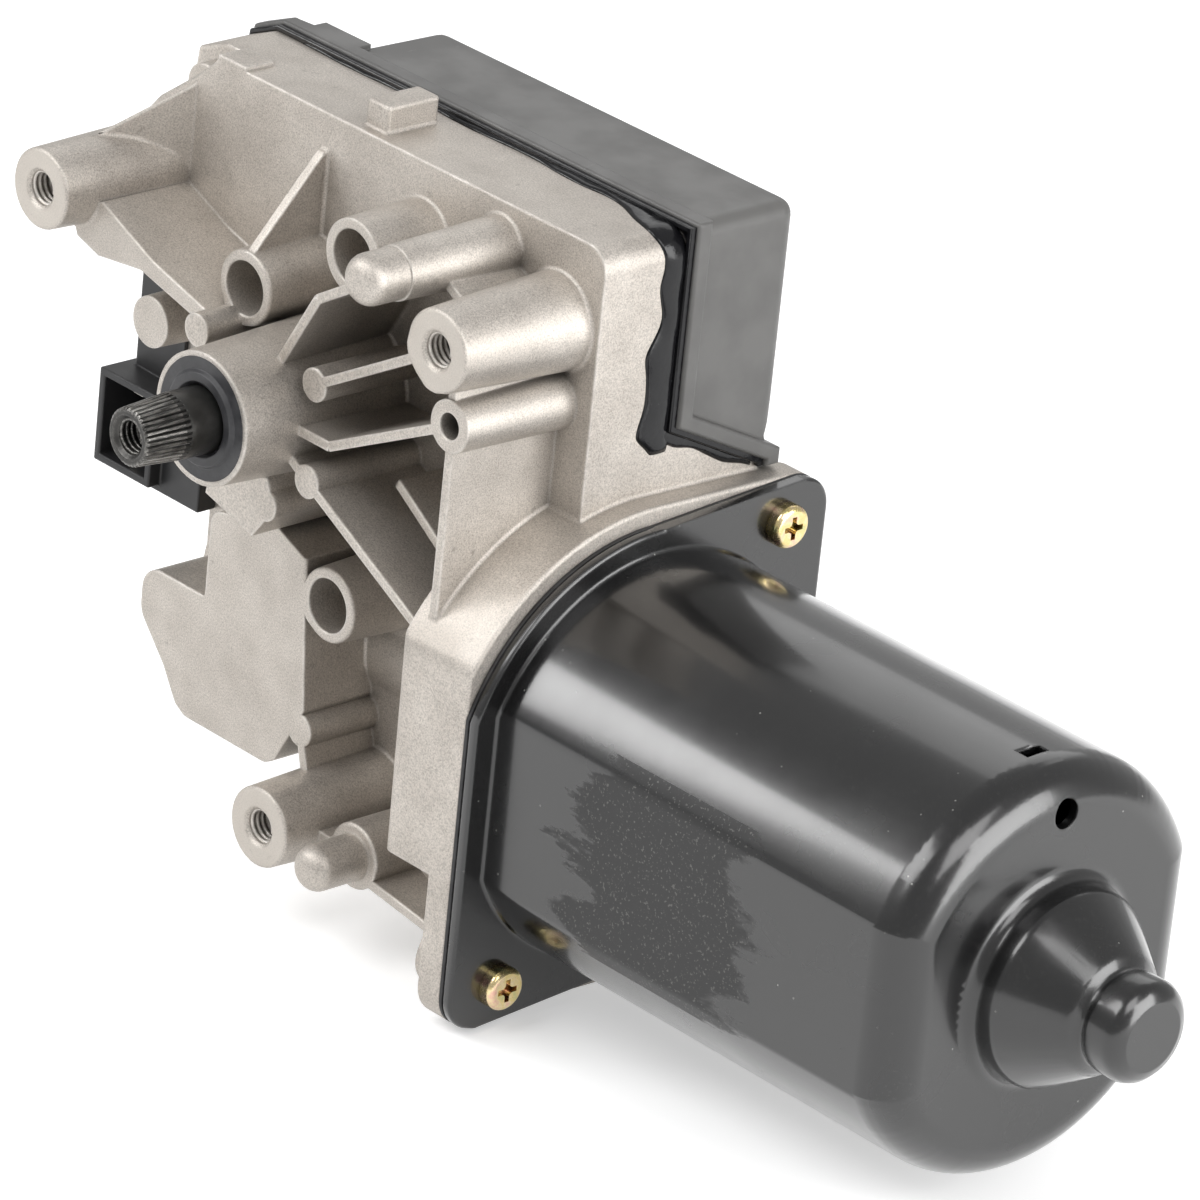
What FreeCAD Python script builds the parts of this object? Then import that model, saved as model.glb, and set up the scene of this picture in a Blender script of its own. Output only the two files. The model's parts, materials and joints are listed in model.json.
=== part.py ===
import FreeCAD, Part
import Sketcher
import math
import os

# Wiper motor, in millimetres: a permanent-magnet motor drives a worm, the worm turns a wheel,
# and the wheel turns the output shaft.
# Origin: where the output shaft's axis crosses the plane of the three mounting boss faces.
# +X runs along the motor towards the end of its can, the output shaft points along -Y, +Z is up.

doc = FreeCAD.newDocument("wiper_motor")
sheet = doc.addObject("Spreadsheet::Sheet", "Sizes")


class Size:
    """A number together with the sheet expression that gives it."""

    def __init__(self, number, text=None):
        self.number = float(number)
        self.text = text if text is not None else repr(float(number))

    def combine(self, other, sign, number):
        return Size(number, "(%s %s %s)" % (self.text, sign, other.text))

    def __add__(self, other):
        other = sized(other)
        return self.combine(other, "+", self.number + other.number)

    def __sub__(self, other):
        other = sized(other)
        return self.combine(other, "-", self.number - other.number)

    def __mul__(self, other):
        other = sized(other)
        return self.combine(other, "*", self.number * other.number)

    def __truediv__(self, other):
        other = sized(other)
        return self.combine(other, "/", self.number / other.number)

    def __radd__(self, other):
        return sized(other) + self

    def __rsub__(self, other):
        return sized(other) - self

    def __rmul__(self, other):
        return sized(other) * self

    def __neg__(self):
        return Size(-self.number, "(0 - %s)" % self.text)

    def __float__(self):
        return self.number


def sized(value):
    return value if isinstance(value, Size) else Size(value)


class Sheet:
    """The sizes by name: d.wheel_width is the size wheel_width, kept in a cell of the sheet."""

    def __init__(self):
        self.used_rows = 0

    def __getattr__(self, alias):
        number = globals()[alias]
        self.used_rows += 1
        sheet.set("A%d" % self.used_rows, alias)
        sheet.set("B%d" % self.used_rows, str(number))
        sheet.setAlias("B%d" % self.used_rows, alias)
        size = Size(number, "Sizes." + alias)
        setattr(self, alias, size)
        return size


d = Sheet()


# Output shaft, worm wheel and motor axis: what every other place is worked out from.
gear_module = 1.5
wheel_teeth = 58
worm_pitch_radius = 8.3
wheel_plane = 43.2
wheel_width = 13
tooth_backlash = 0.3
tooth_bottom_gap = 0.375
wheel_pitch_radius = d.gear_module * d.wheel_teeth / 2
wheel_tip_radius = wheel_pitch_radius + d.gear_module
wheel_root_radius = wheel_pitch_radius - d.gear_module - d.tooth_bottom_gap
worm_tip_radius = d.worm_pitch_radius + d.gear_module
worm_root_radius = d.worm_pitch_radius - d.gear_module - d.tooth_bottom_gap
motor_y = d.wheel_plane
motor_z = -(wheel_pitch_radius + d.worm_pitch_radius)

ALONG_X = FreeCAD.Rotation(FreeCAD.Vector(0, 1, 0), 90)
ALONG_Y = FreeCAD.Rotation(FreeCAD.Vector(1, 0, 0), -90)
ALONG_Z = FreeCAD.Rotation()


def place(thing, x, y, z, rotation=None):
    if rotation is not None:
        thing.Placement = FreeCAD.Placement(FreeCAD.Vector(), rotation)
    for letter, value in zip("xyz", (x, y, z)):
        thing.setExpression("Placement.Base." + letter, sized(value).text)


def rod(name, radius, start, length, x=0, y=0, z=0, along="y"):
    """A cylinder that starts at the given coordinate of its own axis."""
    thing = doc.addObject("Part::Cylinder", name)
    thing.setExpression("Radius", sized(radius).text)
    thing.setExpression("Height", sized(length).text)
    if along == "y":
        place(thing, x, start, z, ALONG_Y)
    elif along == "x":
        place(thing, start, y, z, ALONG_X)
    else:
        place(thing, x, y, start, ALONG_Z)
    return thing


def taper(name, radius_start, radius_end, start, length, x=0, y=0, z=0, along="y"):
    thing = doc.addObject("Part::Cone", name)
    thing.setExpression("Radius1", sized(radius_start).text)
    thing.setExpression("Radius2", sized(radius_end).text)
    thing.setExpression("Height", sized(length).text)
    if along == "y":
        place(thing, x, start, z, ALONG_Y)
    else:
        place(thing, start, y, z, ALONG_X)
    return thing


def block(name, low, high):
    thing = doc.addObject("Part::Box", name)
    for prop, a, b in zip(("Length", "Width", "Height"), low, high):
        thing.setExpression(prop, (sized(b) - sized(a)).text)
    place(thing, *low)
    return thing


def fuse(name, parts):
    thing = doc.addObject("Part::MultiFuse", name)
    thing.Shapes = parts
    return thing


def cut(name, base, tools):
    thing = doc.addObject("Part::Cut", name)
    thing.Base = base
    thing.Tool = tools[0] if len(tools) == 1 else fuse(name + "_tools", tools)
    return thing


def common(name, parts):
    thing = doc.addObject("Part::MultiCommon", name)
    thing.Shapes = parts
    return thing


def draw(sketch, points):
    """Closes straight lines through the points; each corner is held by its two distances."""
    numbers = [FreeCAD.Vector(float(u), float(v), 0) for u, v in points]
    count = len(points)
    for i in range(count):
        sketch.addGeometry(Part.LineSegment(numbers[i], numbers[(i + 1) % count]), False)
    for i in range(count):
        sketch.addConstraint(Sketcher.Constraint("Coincident", i, 2, (i + 1) % count, 1))
    for i, (u, v) in enumerate(points):
        for kind, value in (("DistanceX", u), ("DistanceY", v)):
            at = sketch.addConstraint(Sketcher.Constraint(kind, -1, 1, i, 1, float(value)))
            sketch.setExpression("Constraints[%d]" % at, sized(value).text)


FLAT = {
    "xz": FreeCAD.Rotation(FreeCAD.Vector(1, 0, 0), 90),
    "yz": FreeCAD.Rotation(FreeCAD.Vector(1, 1, 1), 120),
    "xy": FreeCAD.Rotation(),
}


def prism(name, plane, points, start, end):
    """A straight-sided solid on an outline, from one coordinate to another across its plane."""
    sketch = doc.addObject("Sketcher::SketchObject", name + "_outline")
    sketch.Placement = FreeCAD.Placement(FreeCAD.Vector(), FLAT[plane])
    letter = {"xz": "y", "yz": "x", "xy": "z"}[plane]
    sketch.setExpression("Placement.Base." + letter, sized(start).text)
    draw(sketch, points)
    thing = doc.addObject("Part::Extrusion", name)
    thing.Base = sketch
    thing.DirMode = "Custom"
    thing.Dir = {"xz": FreeCAD.Vector(0, 1, 0), "yz": FreeCAD.Vector(1, 0, 0),
                 "xy": FreeCAD.Vector(0, 0, 1)}[plane]
    thing.setExpression("LengthFwd", (sized(end) - sized(start)).text)
    thing.Solid = True
    return thing


def turned(name, points, along="x", x=0, y=0, z=0):
    """A body turned about the part's own axis: points give place on the axis and radius."""
    body = doc.addObject("PartDesign::Body", name)
    role = "XY_Plane"
    plane = next(f for f in body.Origin.OriginFeatures if f.Role == role)
    sketch = body.newObject("Sketcher::SketchObject", name + "_section")
    sketch.AttachmentSupport = (plane, [""])
    sketch.MapMode = "FlatFace"
    draw(sketch, points)
    turn = body.newObject("PartDesign::Revolution", name + "_turned")
    turn.Profile = sketch
    turn.ReferenceAxis = (sketch, ["H_Axis"])
    turn.Angle = 360
    body.Tip = turn
    rotation = FreeCAD.Rotation() if along == "x" else FreeCAD.Rotation(FreeCAD.Vector(0, 0, 1), 90)
    place(body, x, y, z, rotation)
    return body


def pick_edges(shape, test):
    return [i + 1 for i, edge in enumerate(shape.Edges) if test(edge)]


def soften(name, base, radius, test):
    """Rounds the edges of a solid that the test picks."""
    doc.recompute()
    thing = doc.addObject("Part::Fillet", name)
    thing.Base = base
    thing.Edges = [(i, float(radius), float(radius)) for i in pick_edges(base.Shape, test)]
    return thing


def fin(name, corners, across):
    """A flat gusset: a triangle or other flat outline in space, pushed across by its thickness."""
    points = [FreeCAD.Vector(*[float(c) for c in corner]) for corner in corners]
    face = Part.Face(Part.makePolygon(points + points[:1]))
    thing = doc.addObject("Part::Feature", name)
    thing.Shape = face.extrude(FreeCAD.Vector(*[float(c) for c in across]))
    return thing


def four_faced(*corners):
    """A solid with four flat faces, between four corners."""
    points = [FreeCAD.Vector(*[float(c) for c in corner]) for corner in corners]
    faces = []
    for skipped in range(4):
        three = [p for i, p in enumerate(points) if i != skipped]
        faces.append(Part.Face(Part.makePolygon(three + three[:1])))
    solid = Part.makeSolid(Part.makeShell(faces))
    if solid.Volume < 0:
        solid.reverse()
    return solid


def upright_edge_at(x, z, reach=0.6):
    """Picks an edge that runs along Y through a given X and Z."""
    def test(edge):
        a, b = edge.Vertexes[0].Point, edge.Vertexes[-1].Point
        straight = abs(a.x - b.x) < 1e-4 and abs(a.z - b.z) < 1e-4
        return straight and math.hypot(a.x - float(x), a.z - float(z)) < reach
    return test


# Die-cast gear housing: the walls round the wheel and the room beside it.
front_wall_y = 29.5
front_wall = 3.5
side_wall = 3
housing_top = 49
housing_right = 64.2
housing_left = 54
housing_left_low = 38
left_corner_cut = 8
left_corner_drop = 10.3
left_low_corner = 8
housing_bottom = 50
top_corner_radius = 5
chamber_clearance = 1.5
seam_y = 50
seam_bend_z = 10
seam_low_y = 74
seam_low_z = 1.5
back_reach = 90
room_left = 30
chamber_radius = wheel_tip_radius + d.chamber_clearance
chamber_floor = d.front_wall_y + d.front_wall


def housing_outline(grow):
    """The housing seen from the front, grown outwards by an amount."""
    grow = sized(grow)
    return [
        (d.housing_right + grow, d.housing_top + grow),
        (-d.housing_left + d.left_corner_cut - grow / 2, d.housing_top + grow),
        (-d.housing_left - grow, d.housing_top - d.left_corner_drop + grow / 2),
        (-d.housing_left - grow, -d.left_low_corner - grow / 2),
        (-d.housing_left_low - grow, -d.housing_bottom + 8 - grow / 2),
        (-d.housing_left_low - grow, -d.housing_bottom - grow),
        (d.housing_right + grow, -d.housing_bottom - grow),
    ]


def seam_band(front, back, top, bottom):
    """Side view of a band that follows the seam between housing and cover."""
    front, back, top, bottom = sized(front), sized(back), sized(top), sized(bottom)
    return [
        (d.seam_y + front, top),
        (d.seam_y + front, d.seam_bend_z + front / 2),
        (d.seam_low_y + front, -d.seam_low_z + front / 2),
        (d.seam_low_y + front, -bottom),
        (d.seam_low_y + back, -bottom),
        (d.seam_low_y + back, -d.seam_low_z + back / 2),
        (d.seam_y + back, d.seam_bend_z + back / 2),
        (d.seam_y + back, top),
    ]


corner_left = 60
corner_top_x = 51
corner_side_z = 38
corner_low_z = 22
corner_front_y = 36


def corner_outline(grow):
    """The upper left corner that casting and cover share, grown outwards by an amount."""
    grow = sized(grow)
    inner = d.housing_left - d.side_wall / 2
    return [
        (-d.housing_left + d.left_corner_cut + d.side_wall / 2, d.housing_top + grow),
        (-d.corner_top_x - 1, d.housing_top + grow),
        (-d.corner_left + 1 - grow * 0.7, d.housing_top - 3 + grow * 0.7),
        (-d.corner_left - grow, d.corner_side_z),
        (-d.corner_left - grow, d.corner_low_z),
        (-d.housing_left, d.corner_low_z - 6 - grow),
        (-inner, d.corner_low_z - 6 - grow),
        (-inner, d.housing_top - d.left_corner_drop),
    ]


far_up = d.housing_top + 20
far_down = d.housing_bottom + 20
shell_block = prism("shell_block", "xz", housing_outline(0), d.front_wall_y, d.back_reach)
shell_side = prism("shell_side", "yz", [
    (d.front_wall_y, far_up),
    (d.seam_y, far_up),
    (d.seam_y, d.seam_bend_z),
    (d.seam_low_y, -d.seam_low_z),
    (d.seam_low_y, -far_down),
    (d.front_wall_y, -far_down),
], -d.housing_left - 5, d.housing_right + 5)
shell_cut = common("shell_cut", [shell_block, shell_side])
shell = soften("shell", shell_cut, d.top_corner_radius,
               upright_edge_at(d.housing_right, d.housing_top))
chamber = rod("chamber", chamber_radius, chamber_floor, d.back_reach - chamber_floor)
side_room = block("side_room", (d.room_left, chamber_floor, 0),
                  (d.housing_right - d.side_wall, d.back_reach, d.housing_top - d.side_wall))

# Nose: the long drafted bearing tube of the output shaft.
nose_front_y = 8.4
nose_front_radius = 13
nose_root_radius = 15
output_shaft_radius = 6.5
bush_wall = 2.5
running_clearance = 0.05
seal_radius = 12
seal_depth = 3.4
bush_radius = d.output_shaft_radius + d.running_clearance + d.bush_wall
nose = taper("nose", d.nose_front_radius, d.nose_root_radius, -d.nose_front_y,
             d.nose_front_y + chamber_floor)
nose_bore = rod("nose_bore", bush_radius, -d.nose_front_y - 1, d.nose_front_y + chamber_floor + 2)
seal_seat = rod("seal_seat", d.seal_radius, -d.nose_front_y - 1, d.seal_depth + 1)

# Three mounting bosses with M8 threads, their faces in one plane at Y = 0.
boss_face_radius = 8
boss_root_radius = 9.6
mount_1_x = 60.66
mount_1_z = 22.8
mount_2_x = 52.8
mount_2_z = 31.5
mount_3_x = 16.15
mount_3_z = 79.9
mount_thread_radius = 3.4
mount_thread_depth = 20
drill_point = 2
drill_point_end = 0.1
thread_mouth_radius = 4.1
thread_mouth_depth = 0.7
mount_places = (
    ("mount_1", -d.mount_1_x, d.mount_1_z, 17),
    ("mount_2", d.mount_2_x, d.mount_2_z, 0),
    ("mount_3", d.mount_3_x, -d.mount_3_z, 10),
)
casting = [shell, nose]
holes = [chamber, side_room, nose_bore, seal_seat]
for name, x, z, further in mount_places:
    casting.append(taper(name, d.boss_face_radius, d.boss_root_radius, 0,
                         d.front_wall_y + 1 + further, x=x, z=z))
    holes.append(rod(name + "_thread", d.mount_thread_radius, -1, d.mount_thread_depth + 1, x=x, z=z))
    holes.append(taper(name + "_drill_point", d.mount_thread_radius, d.drill_point_end,
                       d.mount_thread_depth, d.drill_point, x=x, z=z))
    holes.append(taper(name + "_mouth", d.thread_mouth_radius, d.mount_thread_radius, 0,
                       d.thread_mouth_depth, x=x, z=z))

# Three lower bosses with blind cored holes, one small boss, a plain stub and two guide pins.
blind_boss_y = 12.5
blind_boss_radius = 7.4
blind_boss_root = 8.2
blind_hole_radius = 5.4
blind_hole_depth = 10.5
blind_core_radius = 3.4
blind_core_depth = 3
blind_1_x = 14.3
blind_1_z = 16.8
blind_2_x = 14.7
blind_2_z = 33.6
blind_3_x = 16.4
blind_3_z = 36.6
small_boss_x = 54.4
small_boss_z = 16.5
small_boss_y = 3.5
small_boss_radius = 5.1
small_boss_root = 5.8
small_hole_radius = 2.6
small_hole_depth = 12
stub_x = 40.3
stub_z = 0.3
stub_radius = 5.1
stub_root = 5.6
for name, x, z in (
    ("blind_1", -d.blind_1_x, d.blind_1_z),
    ("blind_2", d.blind_2_x, d.blind_2_z),
    ("blind_3", d.blind_3_x, -d.blind_3_z),
):
    casting.append(taper(name, d.blind_boss_radius, d.blind_boss_root, d.blind_boss_y,
                         d.front_wall_y - d.blind_boss_y + 1, x=x, z=z))
    holes.append(rod(name + "_hole", d.blind_hole_radius, d.blind_boss_y - 1,
                     d.blind_hole_depth + 1, x=x, z=z))
    holes.append(rod(name + "_core", d.blind_core_radius, d.blind_boss_y,
                     d.blind_hole_depth + d.blind_core_depth, x=x, z=z))
casting.append(taper("small_boss", d.small_boss_radius, d.small_boss_root, d.small_boss_y,
                     d.front_wall_y - d.small_boss_y + 1, x=d.small_boss_x, z=d.small_boss_z))
holes.append(rod("small_hole", d.small_hole_radius, d.small_boss_y - 1, d.small_hole_depth + 1,
                 x=d.small_boss_x, z=d.small_boss_z))
casting.append(taper("stub", d.stub_radius, d.stub_root, d.blind_boss_y,
                     d.front_wall_y - d.blind_boss_y + 1, x=-d.stub_x, z=d.stub_z))

upper_pin_x = 36
upper_pin_z = 40
upper_pin_radius = 5
upper_pin_tip = 6
upper_pin_root_y = 3.4
upper_pin_root_radius = 5.3
upper_pin_foot_radius = 6.2
lower_pin_x = 34.5
lower_pin_z = 80.3
lower_pin_radius = 4.6
lower_pin_tip = 4.5
lower_pin_shoulder_y = 8
lower_pin_shoulder_radius = 6.6
pin_tip_round = 3.6


def guide_pin(name, radius, tip, root, x, z):
    straight = rod(name + "_straight", radius, -tip, tip + root, x=x, z=z)
    return soften(name, straight, d.pin_tip_round,
                  lambda edge: edge.BoundBox.YMax < -float(tip) + 0.01)


casting.append(guide_pin("upper_pin", d.upper_pin_radius, d.upper_pin_tip,
                         d.upper_pin_root_y + 1, d.upper_pin_x, d.upper_pin_z))
casting.append(taper("upper_pin_root", d.upper_pin_root_radius, d.upper_pin_foot_radius,
                     d.upper_pin_root_y, d.front_wall_y + 1 - d.upper_pin_root_y,
                     x=d.upper_pin_x, z=d.upper_pin_z))
casting.append(guide_pin("lower_pin", d.lower_pin_radius, d.lower_pin_tip,
                         d.lower_pin_shoulder_y + 1, d.lower_pin_x, -d.lower_pin_z))
casting.append(rod("lower_pin_shoulder", d.lower_pin_shoulder_radius, d.lower_pin_shoulder_y,
                   motor_y - d.lower_pin_shoulder_y, x=d.lower_pin_x, z=-d.lower_pin_z))

# Motor end of the housing: a drum round the brush gear, flat in front, with the can's flange face.
flange_x = 69.3
drum_start_x = 50
drum_radius = 49
drum_half_depth = 42.7
drum_low_z = 18
brush_room_radius = 37.5
brush_room_start_x = 53
brush_step_radius = 33
brush_step_x = 57
brush_room_wall = 3.5
flange_arc_radius = 45.6
flange_half_height = 48
flange_corner_radius = 7
casting_flange = 6.3
screw_y = 31.1
screw_z = 40.1
screw_thread_radius = 2.1
screw_thread_depth = 11
screw_boss_radius = 6.5
screw_boss_length = 13


def flange_plate(name, start, thickness, arc_radius):
    """The can's flange outline: an arc, flat at the sides, square at the two screw corners."""
    disc = rod(name + "_disc", arc_radius, start, thickness, y=motor_y, z=motor_z, along="x")
    band = block(name + "_band",
                 (start, motor_y - d.drum_half_depth, motor_z - arc_radius),
                 (sized(start) + thickness, motor_y + d.drum_half_depth, motor_z + arc_radius))
    pieces = [common(name + "_round", [disc, band])]
    for label, side in (("low", -1), ("high", 1)):
        wide = d.drum_half_depth
        tall = d.flange_half_height
        round_y = motor_y + (wide - d.flange_corner_radius) * side
        round_z = motor_z + (tall - d.flange_corner_radius) * side
        corners = [
            (motor_y, motor_z),
            (motor_y + wide * side, motor_z),
            (motor_y + wide * side, round_z),
            (round_y, motor_z + tall * side),
            (motor_y, motor_z + arc_radius * side),
        ]
        pieces.append(prism(name + "_ear_" + label, "yz", corners, start, sized(start) + thickness))
        pieces.append(rod(name + "_corner_" + label, d.flange_corner_radius, start, thickness,
                          y=round_y, z=round_z, along="x"))
    return fuse(name, pieces)


screw_places = (
    ("screw_low", motor_y - d.screw_y, motor_z - d.screw_z),
    ("screw_high", motor_y + d.screw_y, motor_z + d.screw_z),
)
drum_disc = rod("drum_disc", d.drum_radius, d.drum_start_x, d.flange_x - d.drum_start_x,
                y=motor_y, z=motor_z, along="x")
drum_box = block("drum_box",
                 (d.drum_start_x, motor_y - d.drum_half_depth, motor_z - d.drum_low_z),
                 (d.flange_x, motor_y + d.drum_half_depth, motor_z + d.drum_radius))
casting.append(common("drum", [drum_disc, drum_box]))
casting.append(rod("brush_room_tube", d.brush_room_radius + d.brush_room_wall, d.drum_start_x,
                   d.flange_x - d.drum_start_x, y=motor_y, z=motor_z, along="x"))
casting.append(flange_plate("casting_flange_plate", d.flange_x - d.casting_flange, d.casting_flange,
                            d.drum_radius))
holes.append(rod("brush_room", d.brush_room_radius, d.brush_step_x,
                 d.flange_x - d.brush_step_x + 1, y=motor_y, z=motor_z, along="x"))
holes.append(rod("brush_room_step", d.brush_step_radius, d.brush_room_start_x,
                 d.flange_x - d.brush_room_start_x + 1, y=motor_y, z=motor_z, along="x"))
for name, y, z in screw_places:
    casting.append(rod(name + "_boss", d.screw_boss_radius, d.flange_x - d.screw_boss_length,
                       d.screw_boss_length, y=y, z=z, along="x"))
    holes.append(rod(name + "_hole", d.screw_thread_radius, d.flange_x - d.screw_thread_depth,
                     d.screw_thread_depth + 1, y=y, z=z, along="x"))

# Worm tunnel with the seats of the end bush and of the ball bearing.
tunnel_clearance = 1.6
tunnel_wall = 4
tunnel_left = 37
end_bush_start = 31
end_bush_length = 9
end_bush_radius = 8
end_journal_radius = 4
shaft_radius = 5
ball_bearing_radius = 13
ball_bearing_width = 8
ball_bearing_x = 45
tunnel_radius = worm_tip_radius + d.tunnel_clearance
casting.append(rod("tunnel", tunnel_radius + d.tunnel_wall, -d.tunnel_left,
                   d.tunnel_left + d.drum_start_x + 1, y=motor_y, z=motor_z, along="x"))
casting.append(rod("bearing_tube", d.ball_bearing_radius + d.tunnel_wall,
                   d.ball_bearing_x - d.tunnel_wall, d.drum_start_x - d.ball_bearing_x + 5,
                   y=motor_y, z=motor_z, along="x"))
tunnel_bore = rod("tunnel_bore", tunnel_radius, -d.end_bush_start + d.end_bush_length,
                  d.end_bush_start - d.end_bush_length + d.ball_bearing_x + 1,
                  y=motor_y, z=motor_z, along="x")
end_bush_seat = rod("end_bush_seat", d.end_bush_radius, -d.end_bush_start, d.end_bush_length + 1,
                    y=motor_y, z=motor_z, along="x")
bearing_seat = rod("bearing_seat", d.ball_bearing_radius, d.ball_bearing_x,
                   d.brush_room_start_x - d.ball_bearing_x + 1, y=motor_y, z=motor_z, along="x")
holes += [tunnel_bore, end_bush_seat, bearing_seat]

# Ribs between the bosses: upright walls that end in one plane, and round pads at their ends.
rib_wall = 1.9
rib_front_y = 4
low_rib_front_y = 12.5
pad_radius = 3.3


def rib(name, start, end, front, back=None, thickness=None):
    """An upright wall between two places given as X and Z."""
    across = d.rib_wall if thickness is None else thickness
    back = d.front_wall_y + 1 if back is None else back
    run = (float(end[0]) - float(start[0]), float(end[1]) - float(start[1]))
    length = math.hypot(*run)
    side = (-run[1] / length / 2, run[0] / length / 2)
    corners = []
    for at, sign in ((start, 1), (end, 1), (end, -1), (start, -1)):
        corners.append((sized(at[0]) + across * side[0] * sign, sized(at[1]) + across * side[1] * sign))
    return prism(name, "xz", corners, front, back)


def pad(name, x, z, front=None):
    front = d.rib_front_y if front is None else front
    return rod(name, d.pad_radius, front, d.front_wall_y + 1 - front, x=x, z=z)


pad_1_x = 16.6
pad_1_z = 10.4
pad_2_x = 16.8
pad_2_z = 9.1
pad_3_x = 5.7
pad_3_z = 18
pad_4_x = 17.4
pad_4_z = 8.9
pad_5_x = 11.6
pad_5_z = 64.5
rib_knee_x = 15.5
rib_knee_z = 27.2
curved_rib_x = 22
curved_rib_z = 0
side_rib_x = 54.3
side_rib_low_z = 27
cross_rib_x = 32
cross_rib_z = 5
boss_1 = (-d.mount_1_x, d.mount_1_z)
boss_2 = (d.mount_2_x, d.mount_2_z)
boss_3 = (d.mount_3_x, -d.mount_3_z)
upper_pin_at = (d.upper_pin_x, d.upper_pin_z)
small_boss_at = (d.small_boss_x, d.small_boss_z)
pad_1_at = (d.pad_1_x, d.pad_1_z)
pad_2_at = (d.pad_2_x, -d.pad_2_z)
pad_5_at = (d.pad_5_x, -d.pad_5_z)
knee = (d.rib_knee_x, d.rib_knee_z)
curved = (d.curved_rib_x, -d.curved_rib_z)
nose_axis = (sized(0), sized(0))
drum_corner = (d.drum_start_x + 0.6, motor_z + d.drum_low_z + 8)
side_rib_foot = (d.side_rib_x, -d.side_rib_low_z)
casting += [
    rib("rib_nose_knee", nose_axis, knee, d.rib_front_y),
    rib("rib_knee_pin", knee, upper_pin_at, d.rib_front_y),
    rib("rib_pad_boss", pad_1_at, boss_2, d.rib_front_y),
    rib("rib_curved_start", nose_axis, curved, d.rib_front_y),
    rib("rib_curved_end", curved, small_boss_at, d.rib_front_y),
    rib("rib_side", small_boss_at, side_rib_foot, d.rib_front_y),
    rib("rib_diagonal", pad_2_at, drum_corner, d.rib_front_y),
    rib("rib_nose_pad", nose_axis, pad_2_at, d.rib_front_y),
    rib("rib_cross", (d.cross_rib_x, -d.cross_rib_z), (d.side_rib_x, -d.side_rib_low_z + 8),
        d.low_rib_front_y),
    rib("rib_boss_small", boss_2, small_boss_at, d.rib_front_y),
    rib("rib_pin_boss", upper_pin_at, boss_2, d.low_rib_front_y),
    rib("rib_boss_3", pad_5_at, boss_3, d.low_rib_front_y, motor_y),
    rib("rib_boss_pin", boss_3, (d.lower_pin_x, -d.lower_pin_z), d.lower_pin_shoulder_y, motor_y),
    rib("rib_bottom", (d.lower_pin_x, -d.lower_pin_z - 3), (d.flange_x - 2, -d.lower_pin_z - 7),
        d.lower_pin_shoulder_y, motor_y),
    pad("pad_1", d.pad_1_x, d.pad_1_z),
    pad("pad_2", d.pad_2_x, -d.pad_2_z),
    pad("pad_3", d.pad_3_x, -d.pad_3_z),
    pad("pad_4", -d.pad_4_x, d.pad_4_z),
    pad("pad_5", d.pad_5_x, -d.pad_5_z, d.low_rib_front_y),
]

# Left side: the web that carries the first boss, its gusset, and the raised plate over the tunnel.
web_front_y = 8
web_top_x = 36
web_top_z = 15.4
gusset = 5
plate_left = 18.3
plate_top = 30.4
plate_right = 12.3
plate_low = 75
lobe_left = 36.5
lobe_top = 48.5
lobe_corner_radius = 5
low_wall_right = 63
low_wall_bottom = 88
web_corners = [
    (-d.mount_1_x + 9, d.mount_1_z - 1),
    (-d.web_top_x, d.web_top_z),
    (-d.pad_4_x, d.pad_4_z + 1.8),
    (-d.pad_4_x, d.pad_4_z - 1.4),
    (-d.web_top_x - 3, d.web_top_z - 3),
    (-d.mount_1_x + 9, d.mount_1_z - 12),
    (-d.mount_1_x + 2, d.mount_1_z - 10),
    (-d.mount_1_x, d.mount_1_z - 6),
]
plate_corners = [
    (-d.plate_left, -d.plate_top),
    (-d.plate_left + 18, -d.plate_top + 4.2),
    (d.plate_right - 3.2, -d.plate_top + 0.4),
    (d.plate_right, -d.plate_top - 30),
    (d.plate_right - 8, -d.plate_low),
    (-d.plate_left - 5, -d.plate_low),
    (-d.plate_left - 10.3, -d.plate_low + 8),
    (-d.lobe_left, -d.lobe_top - 10),
    (-d.lobe_left, -d.lobe_top),
    (-d.plate_left, -d.lobe_top),
]
gusset_tip = (-d.mount_1_x - 0.5, 12, d.mount_1_z + 8.2)
gusset_top = (-d.housing_left + 3, d.front_wall_y + 1, d.housing_top - 6)
gusset_left = (-d.mount_1_x - 7, d.front_wall_y + 1, d.mount_1_z + 6)
gusset_low = (-d.housing_left + 3, d.front_wall_y + 1, d.mount_1_z + 1)
boss_gusset = doc.addObject("Part::Feature", "boss_gusset")
boss_gusset.Shape = four_faced(gusset_tip, gusset_top, gusset_left, gusset_low)
web_back_corners = [
    (-d.mount_1_x - 8, d.mount_1_z + 5),
    (-d.mount_1_x - 1, d.mount_1_z + 13.5),
    (-d.housing_left + 1, d.mount_1_z + 20),
    (-d.housing_left + d.left_corner_cut, d.housing_top - 0.4),
    (-d.housing_left + d.left_corner_cut, d.mount_1_z),
    (-d.housing_left, d.mount_1_z - 8),
    (-d.mount_1_x - 7, d.mount_1_z - 6),
]
raised_plate = prism("raised_plate_sharp", "xz", plate_corners, d.blind_boss_y, motor_y)
lobe_test = upright_edge_at(-d.lobe_left, -d.lobe_top)
lobe_test_low = upright_edge_at(-d.lobe_left, -d.lobe_top - 10)
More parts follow.
